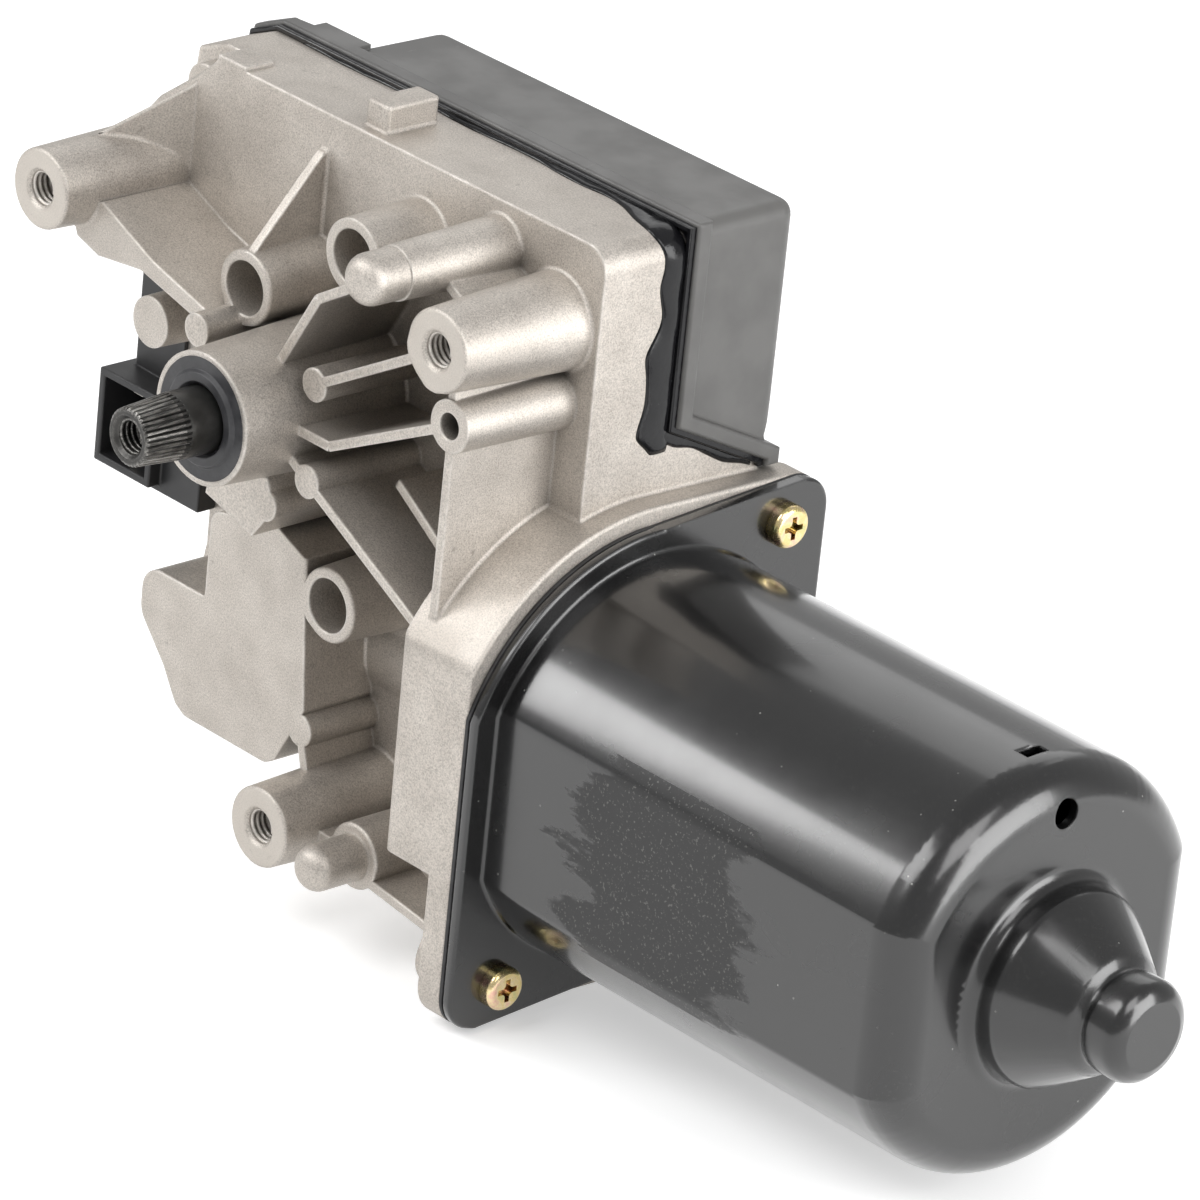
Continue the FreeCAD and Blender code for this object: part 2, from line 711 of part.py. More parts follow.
casting += [
    prism("boss_web", "xz", web_corners, d.web_front_y, d.front_wall_y + 1),
    soften("raised_plate", raised_plate, d.lobe_corner_radius,
           lambda edge: lobe_test(edge) or lobe_test_low(edge)),
    prism("nose_foot", "xz", [(-11, -22), (3, -25.5), (8.5, -18), (4, -9), (-9, -8)],
          d.rib_front_y, d.front_wall_y + 1),
    prism("low_wall", "xz", [
        (-d.lobe_left + 2, -d.housing_bottom + 4),
        (d.low_wall_right, -d.housing_bottom + 4),
        (d.low_wall_right, -d.low_wall_bottom),
        (d.mount_3_x, -d.low_wall_bottom),
        (d.plate_right - 8, -d.plate_low),
        (-d.plate_left - 5, -d.plate_low),
        (-d.lobe_left + 2, -d.lobe_top - 10),
    ], d.front_wall_y, motor_y),
    boss_gusset,
    prism("corner_web", "xz", web_back_corners, d.front_wall_y, d.corner_front_y + 1),
    block("corner_mark", (-d.housing_left + d.left_corner_cut, d.front_wall_y, d.housing_top - 1),
          (-d.housing_left + d.left_corner_cut + 8, d.front_wall_y + 7, d.housing_top + 0.8)),
    fin("gusset_blind_1",
        [(-13, 12.5, 23.5), (-13, 31, 23.5), (-13, 31, 42), (-13, 28.5, 41.5)], (-d.rib_wall, 0, 0)),
]

# Cast lug on the top face.
lug_x = 6.2
lug_y = 31.9
lug_length = 12.7
lug_height = 5.5
casting.append(block("top_lug", (-d.lug_x, d.lug_y, d.housing_top - 1),
                     (0, d.lug_y + d.lug_length, d.housing_top + d.lug_height)))
casting_solid = fuse("casting_solid", casting)
casting_shell = cut("casting_shell", casting_solid, holes)

# Cover: a plastic lid that follows the stepped seam, with a deep box over the circuit board.
seal_thickness = 0.4
seal_bead = 1.2
seal_bead_depth = 1
seal_width = 2.4
rim_thickness = 4
rim_overhang = 2
cover_wall = 2.2
cover_back_y = 77.5
cover_box_left = 36
cover_box_top = 1
cover_low_right = 48.6
cover_dome = 3
corner_screw_x = 52.5
corner_screw_z = 40.5
board_post_radius = 3
board_y = 70
board_thickness = 1.6
cover_screw_radius = 1.9
cover_screw_depth = 10
cover_screw_length = 11
cover_screw_head = 3.4
cover_screw_head_height = 2.2
side_low = -d.housing_left - 30
side_high = d.housing_right + 5
rim_front = d.seal_thickness
rim_back = d.rim_thickness


def seam_ring(name, front, back, outer, inner, right, low=None):
    """A closed band along the seam, between two outlines of the housing."""
    low = far_down if low is None else low
    side = prism(name + "_side", "yz", seam_band(front, back, far_up, low), side_low, side_high)
    outside = prism(name + "_outer", "xz", housing_outline(outer), d.front_wall_y, d.back_reach)
    inside = prism(name + "_inner", "xz", housing_outline(inner), d.front_wall_y - 1,
                   d.back_reach + 1)
    return cut(name, common(name + "_band", [side, outside]), [inside, right])


def right_limit(name):
    """The space of the drum, where neither seal nor cover goes."""
    return block(name, (d.cover_low_right, 0, -far_down),
                 (side_high, d.back_reach + 5, -d.seam_low_z - 1.2))


cover_seal_flat = seam_ring("cover_seal_flat", 0, d.seal_thickness, 0, -d.seal_width,
                            right_limit("seal_limit_1"))
cover_seal_bead = seam_ring("cover_seal_bead", -d.seal_bead_depth, d.seal_thickness, d.seal_bead, 0,
                            right_limit("seal_limit_2"))

cover_rim = seam_ring("cover_rim", d.seal_thickness, d.rim_thickness, d.rim_overhang,
                      -d.side_wall, right_limit("rim_limit"))
box_side = prism("cover_box_side", "yz", [
    (d.seam_y + 1, d.housing_top + d.cover_box_top),
    (d.cover_back_y, d.housing_top + d.cover_box_top),
    (d.cover_back_y, -d.seam_low_z),
    (d.seam_low_y + 1, -d.seam_low_z),
    (d.seam_y + 1, d.seam_bend_z),
], -d.cover_box_left, d.housing_right)
lid_outline = [
    (-d.cover_box_left, 1),
    (d.housing_right, 1),
    (d.housing_right, -d.seam_low_z - 1),
    (d.cover_low_right, -d.seam_low_z - 1),
    (d.cover_low_right, -d.housing_bottom - d.rim_overhang),
    (-d.housing_left_low - d.rim_overhang, -d.housing_bottom - d.rim_overhang),
    (-d.housing_left_low - d.rim_overhang, -d.housing_bottom + 8),
    (-d.cover_box_left, -d.housing_bottom + 8),
]
cover_lid = prism("cover_lid", "xz", lid_outline, d.cover_back_y - d.cover_wall, d.cover_back_y)
left_side = prism("cover_left_side", "yz", [
    (d.seam_y + d.seal_thickness, d.housing_top + d.rim_overhang),
    (d.seam_y + d.rim_thickness + d.cover_dome, d.housing_top + d.rim_overhang),
    (d.seam_y + d.rim_thickness + d.cover_dome, d.seam_bend_z + 2),
    (d.cover_back_y, -d.seam_low_z + 1),
    (d.cover_back_y, -far_down),
    (d.seam_low_y + d.seal_thickness, -far_down),
    (d.seam_low_y + d.seal_thickness, -d.seam_low_z + d.seal_thickness),
    (d.seam_y + d.seal_thickness, d.seam_bend_z + d.seal_thickness),
], -d.housing_left - d.rim_overhang, -d.cover_box_left + d.cover_wall)
left_outline = prism("cover_left_outline", "xz", housing_outline(d.rim_overhang), d.seam_y,
                     d.back_reach)
cover_left = common("cover_left", [left_side, left_outline])
left_room = prism("cover_left_room", "yz", [
    (d.seam_y - 1, far_up),
    (d.seam_y + d.rim_thickness + d.cover_dome - d.cover_wall, far_up),
    (d.seam_y + d.rim_thickness + d.cover_dome - d.cover_wall, d.seam_bend_z + 2),
    (d.cover_back_y - d.cover_wall, -d.seam_low_z + 1),
    (d.cover_back_y - d.cover_wall, -far_down),
    (d.seam_y - 1, -far_down),
], -d.housing_left, -d.cover_box_left + d.cover_wall + 1)
left_round = rod("cover_left_round", chamber_radius, 0, d.back_reach)
cover_chamber = common("cover_chamber", [left_room, left_round])
cover_room = block("cover_room", (-d.cover_box_left + d.cover_wall, d.seam_y - 1, -d.housing_bottom + 3),
                   (d.housing_right - d.cover_wall, d.cover_back_y - d.cover_wall,
                    d.housing_top + d.cover_box_top - d.cover_wall))


cover_corner = prism("cover_corner", "xz", corner_outline(d.rim_overhang),
                     d.seam_y + d.seal_thickness, d.seam_y + d.rim_thickness)
cover_posts = []
for i, (x, z) in enumerate(((-28, 8), (-28, 41), (54, 8), (40, 41))):
    cover_posts.append(rod("board_post_%d" % i, d.board_post_radius, d.board_y + d.board_thickness,
                           d.cover_back_y - d.board_y - d.board_thickness - 1, x=x, z=z))
cover_screw_places = (
    ("cover_screw_1", -d.corner_screw_x, d.corner_screw_z, d.seam_y),
    ("cover_screw_2", 57, 42, d.seam_y),
    ("cover_screw_3", -33.2, -45.2, d.seam_low_y),
    ("cover_screw_4", 43.2, -45.2, d.seam_low_y),
)
cover_solid = [
    cut("cover_box", fuse("cover_box_solid", [box_side, cover_lid]), [cover_room]),
    cut("cover_left_part", cover_left, [cover_chamber]),
    cut("cover_rim_open", cover_rim, [
        block("rim_clearance", (-d.cover_box_left + d.cover_wall, 0, -d.housing_bottom + 12),
              (d.housing_right - d.side_wall, d.cover_back_y - d.cover_wall,
               d.housing_top - d.side_wall)),
        rod("rim_round", chamber_radius, 0, d.cover_back_y - d.cover_wall)]),
    cover_corner,
    rod("cover_well", d.cover_screw_head + 0.6 + d.cover_wall, d.seam_y + d.seal_thickness,
        d.cover_back_y - d.seam_y - d.seal_thickness, x=57, z=42),
] + cover_posts
cover_holes = [rod("cover_wheel_room", chamber_radius, 0, d.seam_y + 6)]
cover_screw_rods = []
for name, x, z, seam in cover_screw_places:
    seat = seam + d.rim_thickness
    cover_holes.append(rod(name + "_passage", d.cover_screw_radius, seam - 1, 40, x=x, z=z))
    cover_holes.append(rod(name + "_head_room", d.cover_screw_head + 0.6, seat, 40, x=x, z=z))
    cover_screw_rods.append(rod(name + "_thread", d.cover_screw_radius, seat - d.cover_screw_length,
                                d.cover_screw_length + 0.5, x=x, z=z))
    cover_screw_rods.append(rod(name + "_head", d.cover_screw_head, seat, d.cover_screw_head_height,
                                x=x, z=z))
cover_whole = fuse("cover_whole", cover_solid)
electronics_cover = cut("electronics_cover", cover_whole, cover_holes)
cover_screws = fuse("cover_screws", cover_screw_rods)
seal_corner_flat = prism("seal_corner_flat", "xz", corner_outline(0), d.seam_y,
                         d.seam_y + d.seal_thickness)
seal_corner_bead = cut("seal_corner_bead", prism(
    "seal_corner_outer", "xz", corner_outline(d.seal_bead), d.seam_y - d.seal_bead_depth,
    d.seam_y + d.seal_thickness), [prism("seal_corner_inner", "xz", corner_outline(0),
                                         d.front_wall_y, d.back_reach),
                                   prism("seal_wall_inner", "xz", housing_outline(0),
                                         d.front_wall_y, d.back_reach)])
seal_corner_space = prism("seal_corner_space", "xz", corner_outline(0), d.front_wall_y, d.seam_y)
cover_seal = cut("cover_seal", fuse("cover_seal_solid", [cover_seal_flat, cover_seal_bead, seal_corner_flat,
                                                     seal_corner_bead]),
                 [seal_corner_space] + [rod(name + "_seal_gap", d.cover_screw_radius + 0.3, seam - 5, 10, x=x, z=z)
                  for name, x, z, seam in cover_screw_places])

# The casting's own posts for the cover screws, and the way for the motor leads.
cover_post_radius = 4.6
lead_x = 56
lead_y = 52
lead_width = 5
lead_slot_length = 14
lead_thickness = 0.8
lead_slot_margin = 2
housing_posts = [prism("corner_block", "xz", corner_outline(0), d.corner_front_y, d.seam_y)]
housing_post_holes = []
for name, x, z, seam in cover_screw_places:
    housing_posts.append(rod(name + "_post", d.cover_post_radius, chamber_floor - 1,
                             seam - chamber_floor + 1, x=x, z=z))
    housing_post_holes.append(rod(name + "_post_hole", d.cover_screw_radius,
                                  seam - d.cover_screw_depth, d.cover_screw_depth + 1, x=x, z=z))
lead_slot = block("lead_slot",
                  (d.lead_x, d.lead_y - d.lead_slot_margin, motor_z + d.brush_room_radius - 9),
                  (d.lead_x + d.lead_width, d.lead_y + d.lead_slot_length, 1))
gear_housing = cut("gear_housing", fuse("housing_solid", [casting_shell] + housing_posts),
                   housing_post_holes + [lead_slot, tunnel_bore, end_bush_seat, bearing_seat])

# Connector: a black socket beside the casting's lower left corner, open to the front.
socket_left = 64.8
socket_width = 16.8
socket_low = 39.5
socket_top = 20
socket_front = 22
socket_depth = 18
socket_wall = 1.6
connector_back = 49.6
neck_left = 62
neck_top = 6
foot_right = 36.5
foot_low = 41
foot_top = 33
foot_front = 25
foot_back = 33
pin_width = 2.8
pin_thickness = 0.8
pin_front = 25
pin_pitch = 3.1
socket_right = d.socket_left - d.socket_width
connector_parts = [
    block("socket_box", (-d.socket_left, d.socket_front, -d.socket_low),
          (-socket_right, d.connector_back, -d.socket_top)),
    block("connector_neck", (-d.neck_left, d.front_wall_y - 1, -d.socket_top - 2),
          (-socket_right, d.connector_back, d.neck_top)),
    block("connector_foot", (-d.socket_left, d.foot_front, -d.foot_low),
          (-d.foot_right, d.foot_back, -d.foot_top)),
]
socket_hollow = block("socket_hollow",
                      (-d.socket_left + d.socket_wall, d.socket_front - 1,
                       -d.socket_low + d.socket_wall),
                      (-socket_right - d.socket_wall, d.socket_front + d.socket_depth,
                       -d.socket_top - d.socket_wall))
housing_space = prism("housing_space", "xz", housing_outline(0), d.front_wall_y, d.back_reach)
pins = []
for i in range(5):
    z = -d.socket_low + d.socket_wall + 2 + d.pin_pitch * i
    pins.append(block("pin_%d" % i,
                      (-(d.socket_left + socket_right) / 2 - d.pin_width / 2, d.pin_front, z),
                      (-(d.socket_left + socket_right) / 2 + d.pin_width / 2, d.connector_back - 2,
                       z + d.pin_thickness)))
connector_terminals = doc.addObject("Part::Compound", "connector_terminals")
connector_terminals.Links = pins
connector_housing = cut("connector_housing", fuse("connector_solid", connector_parts),
                        [socket_hollow, housing_space, fuse("pin_slots", pins)])

# Motor can: deep-drawn steel, round with two flats, and a dome for the rear bearing.
gasket_thickness = 0.8
can_flange_thickness = 2.2
can_radius = 41
can_flat = 37.5
can_wall = 2
can_end_x = 180
can_end_round = 8.5
can_flange_round = 1.6
dome_x = 186
dome_radius = 19.3
dome_taper_x = 197
dome_taper_radius = 11.5
nub_radius = 10
nub_face_x = 207
nub_round = 2.6
dome_wall = 2
bearing_radius = 8
bearing_start_x = 184.5
bearing_length = 11
pad_seat_radius = 5.5
pad_seat_end_x = 203.5
vent_radius = 2.9
vent_z = 32.6
slot_x = 168.5
slot_width = 3
slot_length = 5.5
can_start = d.flange_x + d.gasket_thickness


def can_form(name, radius, flat, start, end, round_end):
    tube = rod(name + "_tube", radius, start, sized(end) - start, y=motor_y, z=motor_z, along="x")
    sides = block(name + "_sides", (start, motor_y - flat, motor_z - radius - 1),
                  (end, motor_y + flat, motor_z + radius + 1))
    return soften(name, common(name + "_sharp", [tube, sides]), round_end,
                  lambda edge: edge.BoundBox.XMin > float(end) - 0.01)


can_outside = can_form("can_outside", d.can_radius, d.can_flat, can_start, d.can_end_x,
                       d.can_end_round)
can_inside = can_form("can_inside", d.can_radius - d.can_wall, d.can_flat - d.can_wall,
                      d.flange_x - 5, d.can_end_x - d.can_wall, d.can_end_round - d.can_wall)
dome = turned("dome", [
    (d.can_end_x - d.can_wall, 0),
    (d.can_end_x - d.can_wall, d.dome_radius + 3),
    (d.can_end_x, d.dome_radius + 3),
    (d.can_end_x + 0.4, d.dome_radius + 1.4),
    (d.can_end_x + 1.6, d.dome_radius + 0.3),
    (d.can_end_x + 3, d.dome_radius),
    (d.dome_x - 0.8, d.dome_radius),
    (d.dome_x + 0.3, d.dome_radius - 0.5),
    (d.dome_taper_x - 0.6, d.dome_taper_radius + 0.5),
    (d.dome_taper_x + 0.7, d.nub_radius - 0.1),
    (d.dome_taper_x + 1.5, d.nub_radius - 0.7),
    (d.dome_taper_x + 2.3, d.nub_radius - 0.1),
    (d.dome_taper_x + 3, d.nub_radius),
    (d.nub_face_x - 3, d.nub_radius),
    (d.nub_face_x - 1.6, d.nub_radius - 0.6),
    (d.nub_face_x - 0.5, d.nub_radius - 1.8),
    (d.nub_face_x, d.nub_radius - 3.2),
    (d.nub_face_x, 0),
], y=motor_y, z=motor_z)
can_bearing_room = rod("can_bearing_room", d.dome_radius - d.dome_wall, d.can_end_x - 4,
                       d.dome_x - d.can_end_x + 4.5, y=motor_y, z=motor_z, along="x")
can_bearing_seat = rod("can_bearing_seat", d.bearing_radius, d.dome_x,
                       d.bearing_start_x + d.bearing_length - d.dome_x, y=motor_y, z=motor_z,
                       along="x")
can_pad_seat = rod("can_pad_seat", d.pad_seat_radius, d.dome_x, d.pad_seat_end_x - d.dome_x,
                   y=motor_y, z=motor_z, along="x")
can_holes = [
    can_inside, can_bearing_room, can_bearing_seat, can_pad_seat,
    rod("vent", d.vent_radius, d.can_end_x - 5, 10, y=motor_y, z=motor_z + d.vent_z, along="x"),
    block("lance_slot", (d.slot_x, motor_y - d.slot_length / 2, motor_z + d.can_radius - 6),
          (d.slot_x + d.slot_width, motor_y + d.slot_length / 2, motor_z + d.can_radius + 2)),
]
screw_hole_radius = 2.6
flange_holes = []
for name, y, z in screw_places:
    flange_holes.append(rod(name + "_passage", d.screw_hole_radius, d.flange_x - 1, 8, y=y, z=z,
                            along="x"))
can_flange = flange_plate("can_flange_plate", can_start, d.can_flange_thickness, d.flange_arc_radius)
motor_can = cut("motor_can", fuse("can_solid", [can_outside, dome, can_flange]),
                can_holes + flange_holes)
gasket_plate = flange_plate("gasket_plate", d.flange_x, d.gasket_thickness, d.flange_arc_radius)
can_gasket = cut("can_gasket", gasket_plate, [
    rod("gasket_opening", d.can_radius - d.can_wall, d.flange_x - 1, 5, y=motor_y, z=motor_z,
        along="x")] + flange_holes)

# Two pan-head screws with a cross recess hold the can and the gasket to the casting.
screw_head_radius = 4.35
screw_head_height = 3.1
screw_length = 9
recess_width = 1.1
recess_length = 4.6
recess_depth = 1.6
screw_seat = can_start + d.can_flange_thickness
screw_solids = []
screw_recesses = []
for name, y, z in screw_places:
    screw_solids.append(soften(
        name + "_head",
        rod(name + "_head_blank", d.screw_head_radius, screw_seat, d.screw_head_height, y=y, z=z,
            along="x"),
        1.3, lambda edge: edge.BoundBox.XMin > float(screw_seat + d.screw_head_height) - 0.01))
    screw_solids.append(rod(name + "_shank", d.screw_thread_radius, screw_seat - d.screw_length,
                            d.screw_length + 1, y=y, z=z, along="x"))
    for label, dy, dz in (("across", d.recess_length, d.recess_width),
                          ("upright", d.recess_width, d.recess_length)):
        screw_recesses.append(block(
            name + "_" + label,
            (screw_seat + d.screw_head_height - d.recess_depth, y - dy / 2, z - dz / 2),
            (screw_seat + d.screw_head_height + 1, y + dy / 2, z + dz / 2)))
can_screws = cut("can_screws", fuse("can_screws_solid", screw_solids), screw_recesses)

# Magnets: two arcs bonded inside the can, above and below the armature.
magnet_thickness = 6.3
magnet_start_x = 80
magnet_length = 70
magnet_half_angle = 57


def magnet(name, sign):
    ring = cut(name + "_ring",
               rod(name + "_outer", d.can_radius - d.can_wall, d.magnet_start_x, d.magnet_length,
                   y=motor_y, z=motor_z, along="x"),
               [rod(name + "_inner", d.can_radius - d.can_wall - d.magnet_thickness,
                    d.magnet_start_x - 1, d.magnet_length + 2, y=motor_y, z=motor_z, along="x")])
    reach = d.can_radius + 10
    spread = math.tan(math.radians(d.magnet_half_angle.number))
    wedge = prism(name + "_wedge", "yz", [
        (motor_y, motor_z),
        (motor_y - reach * spread * sign, motor_z + reach * sign),
        (motor_y + reach * spread * sign, motor_z + reach * sign),
    ], d.magnet_start_x - 1, d.magnet_start_x + d.magnet_length + 1)
    return common(name, [ring, wedge])


magnet_upper = magnet("magnet_upper", 1)
magnet_lower = magnet("magnet_lower", -1)

# Output shaft: a plain journal, a ring groove, and a fluted taper with an M8 bore in its end.
taper_start_y = 15
tip_y = 26.1
tip_radius = 5.7
end_chamfer = 0.5
shaft_bore_radius = 3.4
shaft_bore_mouth = 4.25
shaft_bore_depth = 18
shaft_back_y = 50.6
ring_groove_depth = 0.5
ring_thickness = 1.2
ring_width = 2.2
flute_count = 36
flute_depth = 0.55
axial_play = 0.1
thrust_washer_thickness = 1
hub_radius = 12
hub_flange_radius = 13.5
hub_flange = 0.9
front_bush_start = -d.nose_front_y + d.seal_depth
ring_start = front_bush_start - d.axial_play - d.ring_thickness
hub_start = chamber_floor + d.axial_play + d.thrust_washer_thickness
plain_shaft = turned("plain_shaft", [
    (-d.tip_y, d.shaft_bore_mouth),
    (-d.tip_y, d.tip_radius - d.end_chamfer),
    (-d.tip_y + d.end_chamfer, d.tip_radius),
    (-d.taper_start_y, d.output_shaft_radius),
    (ring_start, d.output_shaft_radius),
    (ring_start, d.output_shaft_radius - d.ring_groove_depth),
    (ring_start + d.ring_thickness, d.output_shaft_radius - d.ring_groove_depth),
    (ring_start + d.ring_thickness, d.output_shaft_radius),
    (d.shaft_back_y - d.end_chamfer, d.output_shaft_radius),
    (d.shaft_back_y, d.output_shaft_radius - d.end_chamfer),
    (d.shaft_back_y, 0),
    (-d.tip_y + d.shaft_bore_depth + 2, 0),
    (-d.tip_y + d.shaft_bore_depth, d.shaft_bore_radius),
    (-d.tip_y + d.shaft_bore_mouth - d.shaft_bore_radius, d.shaft_bore_radius),
], along="y")


def around_y(shape, count):
    """Copies of a shape set evenly round the output shaft's axis."""
    copies = []
    for i in range(count):
        one = shape.copy()
        one.rotate(FreeCAD.Vector(), FreeCAD.Vector(0, 1, 0), 360.0 * i / count)
        copies.append(one)
    return Part.makeCompound(copies)


flute_start = (float(-d.taper_start_y - 0.8), float(d.output_shaft_radius))
flute_end = (float(-d.tip_y - 1), float(d.tip_radius))
flute_sections = []
for y, r in (flute_start, flute_end):
    depth = float(d.flute_depth)
    corners = [FreeCAD.Vector(-depth * 0.75, y, r + 0.05), FreeCAD.Vector(0, y, r - depth),
               FreeCAD.Vector(depth * 0.75, y, r + 0.05)]
    flute_sections.append(Part.makePolygon(corners + corners[:1]))
flutes = doc.addObject("Part::Feature", "flutes")
flutes.Shape = around_y(Part.makeLoft(flute_sections, True, True), int(d.flute_count.number))
output_shaft = cut("output_shaft", plain_shaft, [flutes])

retaining_ring = cut("retaining_ring", cut(
    "retaining_ring_round",
    rod("retaining_ring_blank", d.output_shaft_radius - d.ring_groove_depth + d.ring_width,
        ring_start, d.ring_thickness),
    [rod("retaining_ring_hole", d.output_shaft_radius - d.ring_groove_depth, ring_start - 1,
         d.ring_thickness + 2)]),
    [block("retaining_ring_gap", (-1.6, ring_start - 1, 0), (1.6, 0, 12))])
thrust_washer = cut("thrust_washer",
                    rod("thrust_washer_blank", d.hub_radius, chamber_floor + d.axial_play,
                        d.thrust_washer_thickness),
                    [rod("thrust_washer_hole", d.output_shaft_radius, chamber_floor, 5)])
wheel_hub = turned("wheel_hub", [
    (hub_start, d.output_shaft_radius),
    (hub_start, d.hub_flange_radius),
    (hub_start + d.hub_flange, d.hub_flange_radius),
    (hub_start + d.hub_flange, d.hub_radius),
    (d.shaft_back_y + 0.6, d.hub_radius),
    (d.shaft_back_y + 0.6, d.output_shaft_radius),
], along="y")

# Bushes and seal in the nose.
front_bush_length = 14
rear_bush_length = 13
seal_lip_radius = 9
seal_lip = 0.8
ring_room = 0.4


def bush(name, start, length):
    return cut(name, rod(name + "_blank", bush_radius, start, length),
               [rod(name + "_bore", d.output_shaft_radius + d.running_clearance,
                    sized(start) - 1, length + 2)])


shaft_bush_front = bush("shaft_bush_front", front_bush_start, d.front_bush_length)
shaft_bush_rear = bush("shaft_bush_rear", chamber_floor - d.rear_bush_length, d.rear_bush_length)
ring_room_radius = d.output_shaft_radius - d.ring_groove_depth + d.ring_width + d.ring_room
seal_bore_radius = d.output_shaft_radius + d.running_clearance
shaft_seal = turned("shaft_seal", [
    (-d.nose_front_y, d.seal_radius),
    (-d.nose_front_y, d.seal_lip_radius + 0.6),
    (-d.nose_front_y - d.seal_lip, d.seal_lip_radius),
    (-d.nose_front_y - d.seal_lip, seal_bore_radius + 0.8),
    (-d.nose_front_y, seal_bore_radius),
    (ring_start - d.ring_room, seal_bore_radius),
    (ring_start - d.ring_room, ring_room_radius),
    (front_bush_start, ring_room_radius),
    (front_bush_start, d.seal_radius),
], along="y")

# Worm wheel: a moulded rim with slanted involute teeth, a web with eight ribs, and a boss.
pressure_angle = 20
wheel_rim = 7.5
wheel_boss_radius = 16.5
web_front = 0.2
web_back = 5.2
wheel_rib = 2
wheel_rib_front = 5.2
park_ring_thickness = 0.8
park_inner_start = 20
park_inner_end = 25
park_outer_start = 27
park_outer_end = 33
wheel_front = d.wheel_plane - d.wheel_width / 2
wheel_back = d.wheel_plane + d.wheel_width / 2
web_back_y = d.wheel_plane + d.web_back
rim_inside = wheel_tip_radius - d.wheel_rim
wheel_blank = turned("wheel_blank", [
    (hub_start + d.hub_flange, d.hub_radius),
    (hub_start + d.hub_flange, d.wheel_boss_radius),
    (d.wheel_plane - d.web_front, d.wheel_boss_radius),
    (d.wheel_plane - d.web_front, rim_inside),
    (wheel_front, rim_inside),
    (wheel_front, wheel_tip_radius),
    (wheel_back, wheel_tip_radius),
    (wheel_back, rim_inside),
    (web_back_y, rim_inside),
    (web_back_y, d.wheel_boss_radius),
    (d.shaft_back_y, d.wheel_boss_radius),
    (d.shaft_back_y, d.hub_radius),
], along="y")
wheel_parts = [wheel_blank]
for i in range(8):
    angle = math.radians(45 * i + 22.5)
    wheel_parts.append(rib(
        "wheel_rib_%d" % i,
        ((d.wheel_boss_radius - 1) * math.cos(angle), (d.wheel_boss_radius - 1) * math.sin(angle)),
        ((rim_inside + 1) * math.cos(angle), (rim_inside + 1) * math.sin(angle)),
        d.wheel_plane - d.wheel_rib_front, d.wheel_plane + 1, d.wheel_rib))
wheel_whole = fuse("wheel_whole", wheel_parts)


def involute(angle):
    return math.tan(angle) - angle


def gap_outline():
    """One tooth gap of the wheel at its plane, at the side of the worm, widest outside."""
    pressure = math.radians(float(d.pressure_angle))
    pitch_radius = float(wheel_pitch_radius)
    base_radius = pitch_radius * math.cos(pressure)
    gap = math.pi * float(d.gear_module) / 2 + float(d.tooth_backlash) / 2
    flank = []
    radii = [float(wheel_root_radius), pitch_radius, float(wheel_tip_radius),
             float(wheel_tip_radius) + 1]
    for radius in radii:
        here = math.acos(base_radius / radius)
        half_angle = gap / 2 / pitch_radius + involute(here) - involute(pressure)
        flank.append((radius * math.sin(half_angle), -radius * math.cos(half_angle)))
    return flank + [(-x, z) for x, z in reversed(flank)]


lead_slope = float(d.gear_module) / 2 / float(d.worm_pitch_radius)
gap_half = float(d.wheel_width) / 2 + 0.5
corners = [FreeCAD.Vector(x + gap_half * lead_slope, float(d.wheel_plane) - gap_half, z)
           for x, z in gap_outline()]
gap_face = Part.Face(Part.makePolygon(corners + corners[:1]))
one_gap = gap_face.extrude(FreeCAD.Vector(-2 * gap_half * lead_slope, 2 * gap_half, 0))
tooth_gaps = doc.addObject("Part::Feature", "tooth_gaps")
tooth_gaps.Shape = around_y(one_gap, int(d.wheel_teeth.number))
worm_wheel = cut("worm_wheel", wheel_whole, [tooth_gaps])


def ring_on_wheel(name, inside, outside):
    return cut(name, rod(name + "_blank", outside, web_back_y, d.park_ring_thickness),
               [rod(name + "_hole", inside, web_back_y - 1, d.park_ring_thickness + 2)])


park_outer = cut("park_outer", ring_on_wheel("park_outer_ring", d.park_outer_start,
                                             d.park_outer_end),
                 [prism("park_notch", "xz", [(0, 0), (14, -40), (-14, -40)], d.wheel_plane,
                        d.shaft_back_y)])
park_ring = doc.addObject("Part::Compound", "park_ring")
park_ring.Links = [ring_on_wheel("park_inner_ring", d.park_inner_start, d.park_inner_end),
                   park_outer]

# Armature shaft with the worm cut on it: a right-handed single start.
worm_turns = 6.5
worm_root_margin = 4
button_length = 2.5
shoulder_radius = 6
journal_gap = 0.2
rear_journal_radius = 4
pad_thickness = 3.5
thread_pitch = d.gear_module * math.pi
thread_start = -(thread_pitch * d.worm_turns) / 2
shaft_left = -d.end_bush_start + d.button_length + d.axial_play
left_shoulder = -d.end_bush_start + d.end_bush_length + d.journal_gap
shaft_right = d.pad_seat_end_x - d.pad_thickness - d.axial_play
armature_body = turned("armature_blank", [
    (shaft_left, 0),
    (shaft_left, d.end_journal_radius - 0.5),
    (shaft_left + 0.5, d.end_journal_radius),
    (left_shoulder, d.end_journal_radius),
    (left_shoulder, worm_root_radius - 0.6),
    (left_shoulder + 0.6, worm_root_radius),
    (-thread_start + d.worm_root_margin, worm_root_radius),
    (-thread_start + d.worm_root_margin, d.shoulder_radius),
    (d.ball_bearing_x, d.shoulder_radius),
    (d.ball_bearing_x, d.shaft_radius),
    (d.bearing_start_x - d.journal_gap, d.shaft_radius),
    (d.bearing_start_x - d.journal_gap, d.rear_journal_radius),
    (shaft_right - 0.5, d.rear_journal_radius),
    (shaft_right, d.rear_journal_radius - 0.5),
    (shaft_right, 0),
], y=motor_y, z=motor_z)
